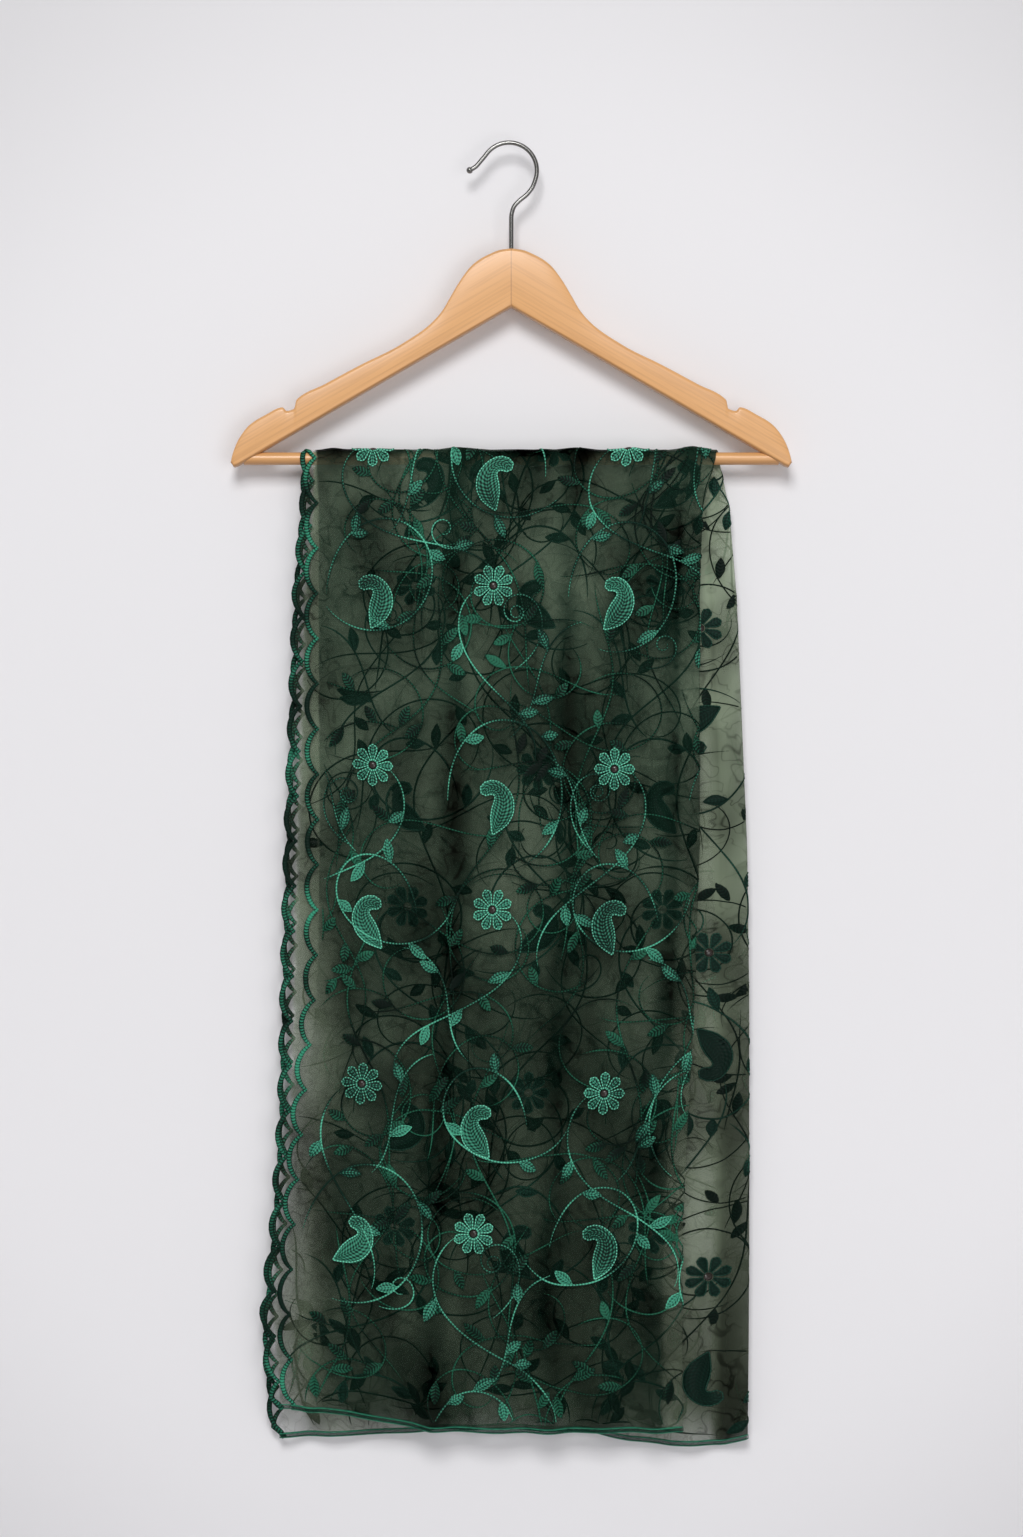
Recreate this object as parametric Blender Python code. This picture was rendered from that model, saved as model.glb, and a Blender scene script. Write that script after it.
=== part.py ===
"""Net dupatta stole, folded lengthwise and hung over the bar of a wooden hanger.

Metres, +Z up, +X to the right, +Y to the back. The origin is the top of the hook's inside,
where a nail or rail carries everything. Every cloth piece is a wall about 1 mm thick, worked
out from the tables of edges, ripples and hems below.
"""
import math
from collections import namedtuple

import bmesh
import bpy
import numpy as np

MM = 0.001
GAP = 0.3 * MM

# Hanger
HANGER_CENTRE_X = 1.8 * MM
ARM_THICKNESS = 14.0 * MM
ARM_ROUNDING = 3.0 * MM
BAR_RADIUS = 5.0 * MM
BAR_HALF_LENGTH = 212.0 * MM
BAR_Z = -249.0 * MM
BAR_SIDES = 16

# Hook
WIRE_RADIUS = 1.8 * MM
HOOK_RADIUS = 22.2 * MM
HOOK_START_ANGLE = math.radians(-18.0)
HOOK_END_ANGLE = math.radians(150.0)
HOOK_ARC_STEPS = 15
HOOK_TIP_RADIUS = 2.7 * MM
HOOK_FOOT_Z = -93.0 * MM
WIRE_SIDES = 8

# Cloth
CLOTH_THICKNESS = 1.0 * MM
INNER_RADIUS = BAR_RADIUS + GAP + CLOTH_THICKNESS / 2
OUTER_RADIUS = INNER_RADIUS + CLOTH_THICKNESS + GAP
LAYER_SPREAD = 2.0 * MM
SPREAD_DROP = 40.0 * MM
HEM_HEIGHT = 4.0 * MM
HEM_THICKNESS = 1.6 * MM
TURN_LEFT_X = -163.4 * MM
TURN_STEPS = 8
FOLD_STEPS = 4
FALL_STATIONS = (0.0, 0.02, 0.05, 0.14, 0.26, 0.40, 0.55, 0.69, 0.80, 0.90, 1.0)
RIPPLE_STATIONS = (0.0, 0.2, 0.4, 0.6, 0.8)

# Scalloped border
SCALLOPS = 21
SCALLOP_STEPS = 4
SCALLOP_CUSP_WIDTH = 4.0 * MM
SCALLOP_DEPTH = 8.7 * MM
SCALLOP_ROUNDNESS = 0.7
BORDER_EDGE_THICKNESS = 1.6 * MM

# Right arm's outline, clockwise from the top of the glued seam: distance from the seam, height
OutlinePoint = namedtuple("OutlinePoint", "across_mm height_mm")
ARM_OUTLINE = (
    OutlinePoint(0.0, -82.7),
    OutlinePoint(17.1, -87.1),
    OutlinePoint(31.3, -96.2),
    OutlinePoint(40.5, -108.1),
    OutlinePoint(47.6, -120.0),
    OutlinePoint(55.1, -132.7),
    OutlinePoint(64.6, -143.0),
    OutlinePoint(72.2, -149.0),
    OutlinePoint(82.5, -155.7),
    OutlinePoint(94.4, -162.8),
    OutlinePoint(116.6, -173.6),
    OutlinePoint(147.5, -190.1),
    OutlinePoint(170.1, -202.5),
    OutlinePoint(172.0, -209.6),
    OutlinePoint(177.8, -211.4),
    OutlinePoint(181.2, -208.6),
    OutlinePoint(195.1, -214.8),
    OutlinePoint(207.0, -222.3),
    OutlinePoint(215.7, -233.4),
    OutlinePoint(220.9, -246.1),
    OutlinePoint(222.1, -252.5),
    OutlinePoint(219.9, -256.0),
    OutlinePoint(216.5, -254.9),
    OutlinePoint(0.0, -129.1),
)

# Hook wire below and past its round bend: stem to bend, then the flared lip
WirePoint = namedtuple("WirePoint", "across_mm height_mm")
HOOK_NECK = (
    WirePoint(1.8, -70.0),
    WirePoint(1.8, -56.0),
    WirePoint(3.6, -49.0),
    WirePoint(8.2, -44.2),
    WirePoint(14.3, -39.6),
    WirePoint(18.8, -33.8),
)
HOOK_LIP = (
    WirePoint(-22.8, -13.2),
    WirePoint(-25.9, -17.3),
    WirePoint(-31.1, -20.2),
)

# Long edges of a fall, a row for each height: part of the way from bar to hem, then where the
# outer layer's border seam, the inner layer's border seam and the lengthwise fold stand
Edge = namedtuple("Edge", "part outer_seam_mm inner_seam_mm fold_mm")
FRONT_EDGES = (
    Edge(0.00, -151.5, -153.1, 164.2),
    Edge(0.05, -149.9, -153.9, 153.9),
    Edge(0.14, -149.9, -159.8, 151.5),
    Edge(0.40, -149.1, -166.6, 151.5),
    Edge(0.55, -150.5, -169.4, 147.6),
    Edge(0.69, -160.5, -171.6, 142.0),
    Edge(0.80, -167.5, -177.0, 138.2),
    Edge(0.90, -171.8, -185.6, 138.0),
    Edge(1.00, -168.2, -178.5, 138.0),
)
BACK_EDGES = (
    Edge(0.00, -152.3, -153.1, 167.4),
    Edge(0.05, -153.1, -153.9, 175.7),
    Edge(0.14, -158.2, -159.4, 181.6),
    Edge(0.40, -165.4, -166.2, 190.0),
    Edge(0.55, -168.2, -169.4, 191.6),
    Edge(0.69, -170.9, -172.1, 191.6),
    Edge(0.80, -176.5, -177.7, 191.6),
    Edge(0.90, -184.0, -185.2, 191.2),
    Edge(1.00, -177.7, -178.5, 190.4),
)

# Ripples side by side from the left seam to the fold: share of the width, height at bar and hem
Ripple = namedtuple("Ripple", "share bar_mm hem_mm")
FRONT_RIPPLES = (
    Ripple(0.070, 1.8, 5.5),
    Ripple(0.220, 0.3, 4.0),
    Ripple(0.132, 2.2, 9.0),
    Ripple(0.171, 0.4, 5.0),
    Ripple(0.124, 2.0, 9.0),
    Ripple(0.153, 0.4, 5.0),
    Ripple(0.130, 2.4, 7.5),
)
BACK_RIPPLES = (
    Ripple(0.100, 1.6, 6.0),
    Ripple(0.180, 0.4, 4.5),
    Ripple(0.130, 2.2, 8.5),
    Ripple(0.160, 0.4, 5.0),
    Ripple(0.140, 1.8, 9.0),
    Ripple(0.170, 0.5, 5.5),
    Ripple(0.120, 2.0, 7.0),
)

# Height of the hem below the bar's centre, along the width
HemPoint = namedtuple("HemPoint", "across_mm drop_mm")
FRONT_HEM = (
    HemPoint(-173.7, 753.0),
    HemPoint(-126.0, 757.5),
    HemPoint(-62.7, 769.5),
    HemPoint(-7.0, 771.4),
    HemPoint(138.0, 770.6),
)
BACK_HEM = (
    HemPoint(-189.6, 778.4),
    HemPoint(-118.0, 776.5),
    HemPoint(-57.9, 772.9),
    HemPoint(-7.1, 771.3),
    HemPoint(69.0, 775.0),
    HemPoint(95.2, 780.8),
    HemPoint(129.3, 784.8),
    HemPoint(170.5, 784.8),
    HemPoint(189.6, 779.2),
)

# A fall's tables together; side is -1 in front of the bar and +1 behind it
Fall = namedtuple("Fall", "side edges ripples hem")
FRONT = Fall(-1.0, FRONT_EDGES, FRONT_RIPPLES, FRONT_HEM)
BACK = Fall(1.0, BACK_EDGES, BACK_RIPPLES, BACK_HEM)

# Finishes: colour, roughness, metallic
Finish = namedtuple("Finish", "colour roughness metallic")
FINISHES = {
    "green_net": Finish((0.020, 0.065, 0.045, 1.0), 0.75, 0.0),
    "satin_thread": Finish((0.030, 0.180, 0.110, 1.0), 0.45, 0.0),
    "beech_wood": Finish((0.780, 0.450, 0.190, 1.0), 0.40, 0.0),
    "steel_wire": Finish((0.620, 0.620, 0.630, 1.0), 0.25, 1.0),
}


def column(table, name):
    """One named column of a table as an array, in metres where the name ends in _mm."""
    values = np.array([getattr(row, name) for row in table], dtype=float)
    return values * MM if name.endswith("_mm") else values


def ease(t):
    """Smooth step from 0 to 1 with level ends."""
    t = np.clip(t, 0.0, 1.0)
    return t * t * (3.0 - 2.0 * t)


def material(name):
    """The named finish as a Principled material, made once."""
    found = bpy.data.materials.get(name)
    if found:
        return found
    finish = FINISHES[name]
    made = bpy.data.materials.new(name)
    made.use_nodes = True
    shader = made.node_tree.nodes["Principled BSDF"]
    shader.inputs["Base Color"].default_value = finish.colour
    shader.inputs["Roughness"].default_value = finish.roughness
    shader.inputs["Metallic"].default_value = finish.metallic
    made.diffuse_color = finish.colour
    return made


def add_object(name, mesh, finish):
    """Link a mesh as a named object with its own copy of a finish."""
    mesh.materials.append(material(finish))
    made = bpy.data.objects.new(name, mesh)
    bpy.context.scene.collection.objects.link(made)
    return made


def mesh_from_bmesh(name, bm):
    """Turn all faces outwards and store the result as a mesh."""
    bmesh.ops.recalc_face_normals(bm, faces=bm.faces[:])
    mesh = bpy.data.meshes.new(name)
    bm.to_mesh(mesh)
    bm.free()
    return mesh


def smooth_shaded(mesh, angle=math.radians(40.0)):
    """Shade round stretches smooth and keep true edges sharp."""
    mesh.shade_smooth()
    mesh.set_sharp_from_angle(angle=angle)
    return mesh


# Walls

def wall_mesh(name, outside, inside):
    """Closed wall between two grids of the same shape (stations, path points, 3)."""
    stations, points = outside.shape[:2]
    vertices = np.concatenate((outside.reshape(-1, 3), inside.reshape(-1, 3)))
    index = np.arange(2 * stations * points).reshape(2, stations, points)
    out, back = index

    def quads(a, b, c, d):
        return np.stack((a, b, c, d), axis=-1).reshape(-1, 4)

    faces = [
        quads(out[:-1, :-1], out[1:, :-1], out[1:, 1:], out[:-1, 1:]),
        quads(back[:-1, :-1], back[:-1, 1:], back[1:, 1:], back[1:, :-1]),
        quads(out[:-1, 0], back[:-1, 0], back[1:, 0], out[1:, 0]),
        quads(out[:-1, -1], out[1:, -1], back[1:, -1], back[:-1, -1]),
        quads(out[0, :-1], out[0, 1:], back[0, 1:], back[0, :-1]),
        quads(out[-1, :-1], back[-1, :-1], back[-1, 1:], out[-1, 1:]),
    ]
    bm = bmesh.new()
    made = [bm.verts.new(vertex) for vertex in vertices]
    for face in np.concatenate(faces):
        bm.faces.new([made[i] for i in face])
    return smooth_shaded(mesh_from_bmesh(name, bm))


def ripple_places(fall):
    """Where the stations of every ripple stand, from 0 at the seam to 1 at the fold."""
    shares = column(fall.ripples, "share")
    shares = shares / shares.sum()
    starts = np.concatenate(([0.0], np.cumsum(shares)[:-1]))
    places = starts[:, None] + shares[:, None] * np.array(RIPPLE_STATIONS)
    return np.append(places.ravel(), 1.0)


def ripple_lift(fall, parts):
    """How far each ripple station stands off: sine squared across a ripple, eased down the fall."""
    wave = np.sin(np.pi * np.array(RIPPLE_STATIONS)) ** 2
    grown = ease(parts)[:, None]
    height = (1.0 - grown) * column(fall.ripples, "bar_mm") + grown * column(fall.ripples, "hem_mm")
    lift = (height[:, :, None] * wave).reshape(len(parts), -1)
    return np.pad(lift, ((0, 0), (0, 1)))


def spread(parts, fall):
    """Space that opens between the two layers below the bar."""
    drop = parts * column(fall.hem, "drop_mm").mean()
    return LAYER_SPREAD * (1.0 - np.exp(-drop / SPREAD_DROP))


def layer_path(fall, parts, layer):
    """A layer's middle line at each station: place along X and distance from the bar's centre."""
    keys = column(fall.edges, "part")
    outer_seam = np.interp(parts, keys, column(fall.edges, "outer_seam_mm"))
    seam = np.interp(parts, keys, column(fall.edges, layer + "_seam_mm"))
    fold = np.interp(parts, keys, column(fall.edges, "fold_mm"))
    fold = fold - CLOTH_THICKNESS / 2 - fold_radius(fall, parts)
    x = outer_seam[:, None] + (fold - outer_seam)[:, None] * ripple_places(fall)
    x[:, 0] = seam
    depth = INNER_RADIUS + ripple_lift(fall, parts)
    if layer == "outer":
        depth = depth + (OUTER_RADIUS - INNER_RADIUS + spread(parts, fall))[:, None]
    return x, depth


def fold_radius(fall, parts):
    """Radius of the lengthwise fold, half the distance between the layers."""
    return (OUTER_RADIUS - INNER_RADIUS + spread(parts, fall)) / 2


def hairpin(outer, inner, thickness):
    """Join two layers by a round fold and give the wall's two faces as (x, depth) grids.

    The path runs along the outer layer to the fold, round it, and back along the inner layer.
    Each point moves along the path's normal by half the thickness, to either side.
    """
    sides = []
    for (x, depth), direction in ((outer, 1.0), (inner, -1.0)):
        slope = np.zeros_like(x)
        slope[:, 1:-1] = (depth[:, 2:] - depth[:, :-2]) / (x[:, 2:] - x[:, :-2])
        length = np.hypot(1.0, slope)
        sides.append((x, depth, -direction * slope / length, direction / length))
    angles = np.linspace(math.pi / 2, -math.pi / 2, FOLD_STEPS + 1)[1:-1]
    middle = (outer[1][:, -1:] + inner[1][:, -1:]) / 2
    radius = (outer[1][:, -1:] - inner[1][:, -1:]) / 2
    fold_x = outer[0][:, -1:] + radius * np.cos(angles)
    fold_depth = middle + radius * np.sin(angles)
    fold = (fold_x, fold_depth, np.cos(angles) + 0 * fold_x, np.sin(angles) + 0 * fold_x)
    back = tuple(grid[:, ::-1] for grid in sides[1])
    x, depth, normal_x, normal_depth = (
        np.concatenate(parts, axis=1) for parts in zip(sides[0], fold, back))
    half = thickness / 2
    outside = (x + normal_x * half, depth + normal_depth * half)
    inside = (x - normal_x * half, depth - normal_depth * half)
    return outside, inside


def net_drop(fall, x):
    """How far the net reaches below the bar's centre at X, above the hem strip."""
    total = np.interp(x, column(fall.hem, "across_mm"), column(fall.hem, "drop_mm"))
    return total - HEM_HEIGHT - GAP


def hung(fall, x, depth, drop):
    """Points of a fall in space."""
    return np.stack((x, fall.side * depth, BAR_Z - drop), axis=-1)


def fall_wall(name, fall):
    """Doubled net of one fall, from just under the bar's centre to the hem."""
    parts = np.array(FALL_STATIONS)
    faces = hairpin(layer_path(fall, parts, "outer"), layer_path(fall, parts, "inner"),
                    CLOTH_THICKNESS)
    grids = []
    for x, depth in faces:
        drop = GAP / 2 + parts[:, None] * (net_drop(fall, x) - GAP / 2)
        grids.append(hung(fall, x, depth, drop))
    return add_object(name, wall_mesh(name, *grids), "green_net")


def hem_wall(name, fall):
    """Turned end of the doubled net: the fall's lowest section, thicker, carried straight down."""
    ends = np.ones(2)
    faces = hairpin(layer_path(fall, ends, "outer"), layer_path(fall, ends, "inner"),
                    HEM_THICKNESS)
    down = np.array((GAP, GAP + HEM_HEIGHT))[:, None]
    grids = [hung(fall, x, depth, net_drop(fall, x) + down) for x, depth in faces]
    return add_object(name, wall_mesh(name, *grids), "satin_thread")


def turn_wall(name):
    """Doubled net over the bar: the front and back sections blended round half a circle."""
    angles = np.linspace(0.0, math.pi, TURN_STEPS + 1)
    share = (1.0 - np.cos(angles))[:, None] / 2
    top = np.zeros(TURN_STEPS + 1)
    layers = []
    for layer in ("outer", "inner"):
        front_x, front_depth = layer_path(FRONT, top, layer)
        back_x, back_depth = layer_path(BACK, top, layer)
        x = (1.0 - share) * front_x + share * back_x
        x[:, 0] = TURN_LEFT_X
        layers.append((x, (1.0 - share) * front_depth + share * back_depth))
    grids = []
    for x, depth in hairpin(*layers, CLOTH_THICKNESS):
        turn = angles[:, None]
        height = np.maximum(depth * np.sin(turn), GAP / 2)
        grids.append(np.stack((x, -depth * np.cos(turn), BAR_Z + height), axis=-1))
    return add_object(name, wall_mesh(name, *grids), "green_net")


def border_strip(name, fall, layer, phase):
    """Scalloped edging of one layer: its width follows a row of arches, its edge is corded."""
    steps = SCALLOPS * SCALLOP_STEPS
    end = 1.0 + (HEM_HEIGHT + GAP) / column(fall.hem, "drop_mm")[0]
    parts = np.linspace(0.0, end, steps + 1)
    arches = np.abs(np.sin(np.pi * (np.arange(steps + 1) / SCALLOP_STEPS + phase)))
    width = SCALLOP_CUSP_WIDTH + SCALLOP_DEPTH * arches ** SCALLOP_ROUNDNESS
    on_net = np.minimum(parts, 1.0)
    path_x, path_depth = layer_path(fall, on_net, layer)
    seam = path_x[:, 0] - GAP
    drop = GAP / 2 + parts * net_drop(fall, path_x[:, 0])
    x = np.stack((seam, seam - width), axis=1)
    grown = ease(parts * column(fall.hem, "drop_mm")[0] / SPREAD_DROP)
    edge_half = (CLOTH_THICKNESS + (BORDER_EDGE_THICKNESS - CLOTH_THICKNESS) * grown) / 2
    half = np.stack((np.full_like(seam, CLOTH_THICKNESS / 2), edge_half), axis=1)
    depth = path_depth[:, :1]
    drop = drop[:, None] + 0 * x
    grids = [hung(fall, x, depth + half, drop), hung(fall, x, depth - half, drop)]
    return add_object(name, wall_mesh(name, *grids), "satin_thread")


# Hanger

def hanger_arm(name, side, cutters):
    """One wooden half: the outline extruded, its long edges rounded, bored for bar and hook."""
    bm = bmesh.new()
    points = []
    for point in ARM_OUTLINE:
        across = max(point.across_mm * MM, GAP / 2)
        points.append((HANGER_CENTRE_X + side * across, -ARM_THICKNESS / 2, point.height_mm * MM))
    face = bm.faces.new([bm.verts.new(point) for point in points])
    made = bmesh.ops.extrude_face_region(bm, geom=[face])["geom"]
    moved = [item for item in made if isinstance(item, bmesh.types.BMVert)]
    bmesh.ops.translate(bm, vec=(0.0, ARM_THICKNESS, 0.0), verts=moved)
    bmesh.ops.recalc_face_normals(bm, faces=bm.faces[:])

    def on_seam(vertex):
        return abs(vertex.co.x - HANGER_CENTRE_X) < GAP

    rims = [edge for edge in bm.edges
            if abs(edge.verts[0].co.y - edge.verts[1].co.y) < GAP
            and not all(on_seam(vertex) for vertex in edge.verts)]
    bmesh.ops.bevel(bm, geom=rims, offset=ARM_ROUNDING, segments=2, profile=0.5,
                    affect="EDGES", clamp_overlap=True)
    arm = add_object(name, smooth_shaded(mesh_from_bmesh(name, bm), math.radians(50.0)),
                     "beech_wood")
    for cutter in cutters:
        cut = arm.modifiers.new("cut_" + cutter.name, "BOOLEAN")
        cut.operation = "DIFFERENCE"
        cut.solver = "EXACT"
        cut.object = cutter
    return arm


def tube_mesh(name, path, radii, sides, roll=0.0):
    """Round tube: rings square to a path in the XZ plane, closed by flat ends."""
    path = np.asarray(path, dtype=float)
    along = np.gradient(path, axis=0)
    along /= np.linalg.norm(along, axis=1)[:, None]
    across = np.stack((-along[:, 2], np.zeros(len(path)), along[:, 0]), axis=1)
    depth = np.array((0.0, 1.0, 0.0))
    turns = roll + np.arange(sides) * 2.0 * math.pi / sides
    ring = np.cos(turns)[:, None] * across[:, None, :] + np.sin(turns)[:, None] * depth
    rings = path[:, None, :] + np.asarray(radii)[:, None, None] * ring
    bm = bmesh.new()
    made = [[bm.verts.new(point) for point in points] for points in rings]
    for first, second in zip(made[:-1], made[1:]):
        for i in range(sides):
            j = (i + 1) % sides
            bm.faces.new((first[i], first[j], second[j], second[i]))
    bm.faces.new(made[0])
    bm.faces.new(made[-1])
    return mesh_from_bmesh(name, bm)


def cutter(name, start, end, radius, sides):
    """Straight hidden rod that a Boolean takes away from the arms."""
    mesh = tube_mesh(name, (start, end), (radius, radius), sides)
    made = bpy.data.objects.new(name, mesh)
    bpy.context.scene.collection.objects.link(made)
    made.hide_render = True
    made.display_type = "WIRE"
    return made


def hanger():
    """Both arms with their bored holes, and the bar between them."""
    reach = BAR_HALF_LENGTH + GAP
    socket = cutter("bar_socket", (HANGER_CENTRE_X - reach, 0.0, BAR_Z),
                    (HANGER_CENTRE_X + reach, 0.0, BAR_Z), BAR_RADIUS + GAP, BAR_SIDES)
    bore = cutter("hook_bore", (HANGER_CENTRE_X, 0.0, HOOK_FOOT_Z - GAP),
                  (HANGER_CENTRE_X, 0.0, HOOK_FOOT_Z / 2), WIRE_RADIUS + GAP, WIRE_SIDES)
    hanger_arm("hanger_arm_left", -1.0, (socket, bore))
    hanger_arm("hanger_arm_right", 1.0, (socket, bore))
    ends = ((HANGER_CENTRE_X - BAR_HALF_LENGTH, 0.0, BAR_Z),
            (HANGER_CENTRE_X + BAR_HALF_LENGTH, 0.0, BAR_Z))
    bar = tube_mesh("trouser_bar", ends, (BAR_RADIUS, BAR_RADIUS), BAR_SIDES)
    add_object("trouser_bar", smooth_shaded(bar), "beech_wood")


def hook():
    """Steel wire: straight stem, smooth neck, round bend and a flared lip with a ball end."""
    centre = np.array((0.0, WIRE_RADIUS - HOOK_RADIUS))
    angles = np.linspace(HOOK_START_ANGLE, HOOK_END_ANGLE, HOOK_ARC_STEPS + 1)
    arc = centre + HOOK_RADIUS * np.stack((np.cos(angles), np.sin(angles)), axis=1)
    foot = np.array(((HANGER_CENTRE_X, HOOK_FOOT_Z),))
    neck, lip = (np.stack((column(table, "across_mm"), column(table, "height_mm")), axis=1)
                 for table in (HOOK_NECK, HOOK_LIP))
    line = np.concatenate((foot, neck, arc, lip))
    towards = (line[-1] - line[-2]) / np.linalg.norm(line[-1] - line[-2])
    tip_angles = np.radians((-45.0, 0.0, 45.0, 75.0))
    tip = line[-1] + HOOK_TIP_RADIUS * np.sin(tip_angles)[:, None] * towards
    path = np.concatenate((line[:-1], tip))
    path = np.stack((path[:, 0], np.zeros(len(path)), path[:, 1]), axis=1)
    radii = np.append(np.full(len(line) - 1, WIRE_RADIUS), HOOK_TIP_RADIUS * np.cos(tip_angles))
    mesh = tube_mesh("hook", path, radii, WIRE_SIDES)
    add_object("hook", smooth_shaded(mesh, math.radians(50.0)), "steel_wire")


def stole():
    """Net in three stretches, the scalloped edging of every layer and the two hems."""
    fall_wall("front_fall", FRONT)
    turn_wall("bar_turn")
    fall_wall("back_fall", BACK)
    border_strip("front_outer_border", FRONT, "outer", 0.0)
    border_strip("front_inner_border", FRONT, "inner", 0.5)
    border_strip("back_outer_border", BACK, "outer", 0.5)
    border_strip("back_inner_border", BACK, "inner", 0.0)
    hem_wall("front_hem", FRONT)
    hem_wall("back_hem", BACK)


def clear_scene():
    """Remove every object that the file already holds."""
    for found in list(bpy.data.objects):
        bpy.data.objects.remove(found, do_unlink=True)


clear_scene()
hanger()
hook()
stole()
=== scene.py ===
"""Looks of an embroidered net stole hung over the bar of a wooden hanger.

The script is laid out as an add-on and run as a script. Every piece is a surface worked out
from the tables below, in metres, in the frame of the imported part: +X right, +Y back, +Z up,
with the origin at the top of the hook's inside.
"""
import math
from collections import namedtuple

import bmesh
import bpy
import numpy as np
from bpy.props import FloatProperty, FloatVectorProperty, PointerProperty
from bpy.types import Operator, Panel, PropertyGroup
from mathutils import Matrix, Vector


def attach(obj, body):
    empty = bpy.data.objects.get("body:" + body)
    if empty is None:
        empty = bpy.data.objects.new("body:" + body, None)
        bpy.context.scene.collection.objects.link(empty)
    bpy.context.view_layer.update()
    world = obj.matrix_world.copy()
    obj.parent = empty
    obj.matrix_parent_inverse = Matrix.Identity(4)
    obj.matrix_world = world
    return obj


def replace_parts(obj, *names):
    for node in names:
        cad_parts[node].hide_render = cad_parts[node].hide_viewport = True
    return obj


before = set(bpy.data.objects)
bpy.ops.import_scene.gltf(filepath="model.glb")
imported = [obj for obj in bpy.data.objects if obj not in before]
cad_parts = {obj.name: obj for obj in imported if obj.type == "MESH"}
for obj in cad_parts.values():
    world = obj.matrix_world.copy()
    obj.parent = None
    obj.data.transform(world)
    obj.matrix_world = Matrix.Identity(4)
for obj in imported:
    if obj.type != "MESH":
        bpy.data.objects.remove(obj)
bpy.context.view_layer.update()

bl_info = {
    "name": "Net Stole on Hanger",
    "version": (1, 0, 0),
    "blender": (4, 5, 0),
    "location": "View3D > Sidebar > Stole",
    "description": "Builds an embroidered net stole, its wooden hanger and a plain studio",
    "category": "Add Mesh",
}

MM = 0.001
GAP = 0.3 * MM
BODY = "root"
SEED = 11

# Hanger and hook, the same sizes as the solids
HANGER_CENTRE_X = 1.8 * MM
ARM_HALF_THICKNESS = 7.0 * MM
ARM_ROUNDING = 3.0 * MM
GRAIN_SLOPE = math.radians(-30.2)
BAR_RADIUS = 5.0 * MM
BAR_HALF_LENGTH = 212.0 * MM
BAR_Z = -249.0 * MM
NOTCH_START = 164.0 * MM
NOTCH_END = 186.0 * MM
WIRE_RADIUS = 1.8 * MM
HOOK_RADIUS = 22.2 * MM
HOOK_START_ANGLE = math.radians(-18.0)
HOOK_END_ANGLE = math.radians(150.0)
HOOK_TIP_RADIUS = 2.7 * MM
WOOD_CREASE = math.radians(35.0)
WIRE_CREASE = math.radians(50.0)
MERGE_DISTANCE = 0.002 * MM
# Heights of the painted shade above the lower edges of the arms and of the bar
ARM_PAINTED_SHADE = 2.8 * MM
BAR_PAINTED_SHADE = 7.0 * MM

# Stations along an arm before, in and after its notch, points round one corner of it, sides of
# the bar and the wire, and points of the hook's bend, whole line and ball
ARM_STATIONS = (84, 45, 34)
CORNER_POINTS = 6
BAR_SIDES = 48
WIRE_SIDES = 20
BEND_POINTS = 49
HOOK_STATIONS = 150
HOOK_SMOOTHINGS = 6
BALL_RINGS = 9

# Cloth: distance of each layer's middle from the bar's centre, and how the layers part below it
CLOTH_THICKNESS = 1.0 * MM
INNER_RADIUS = BAR_RADIUS + GAP + CLOTH_THICKNESS / 2
LAYER_STEP = CLOTH_THICKNESS + GAP
LAYER_SPREAD = 2.0 * MM
SPREAD_DROP = 40.0 * MM
HEM_HEIGHT = 4.0 * MM
FRONT_LENGTH = 766.0 * MM
TURN_LENGTH = 22.0 * MM
BACK_LENGTH = 774.0 * MM
NET_LENGTH = FRONT_LENGTH + TURN_LENGTH + BACK_LENGTH
HALF_WIDTH = 315.0 * MM
FOLD_SHARE = 0.008
NORMAL_STEP = 0.8 * MM

# Stations of the net's grid
LAYER_STATIONS = 93
FOLD_STATIONS = 9
TURN_STATIONS = 11
SCALLOP_STATIONS = 8
EDGING_STATIONS = 4
COUNT_STATIONS = 4001
NET_TUCK = 0.2 * MM

# How much opener the net hangs near its long edges, between the scallops and at the back hem,
# and how much closer along the pressed line beside the fold and over the bar, with the width of
# each as a share of the cloth or in metres; a bunch is as wide as this share of its ripple
SLACK_EDGE = 0.9
SLACK_WIDTH = 0.08
EDGING_OPENNESS = 1.9
FOLD_LINE = 1.0
FOLD_LINE_PLACE = 0.066
FOLD_LINE_WIDTH = 0.004
BAR_GATHER = 1.1
BAR_GATHER_WIDTH = 12.0 * MM
HEM_OPENNESS = 0.6
HEM_OPEN_WIDTH = 18.0 * MM
BUNCH_WIDTH = 0.24

# Scalloped border
SCALLOPS = 21
HEM_REACH = 4.0 * MM
SCALLOP_START = 0.8 * MM
SCALLOP_RISE = 9.6 * MM
SCALLOP_ROUNDNESS = 0.6
SCALLOP_CLOSING = 10.0 * MM
SHORTEST_ARC = 6.0 * MM
ARC_STEPS = 13
SATIN_HALF_WIDTH = 2.1 * MM
SATIN_CUSP = 0.35
SATIN_HEIGHT = 0.7 * MM
HEM_THICKNESS = 0.8 * MM

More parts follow.
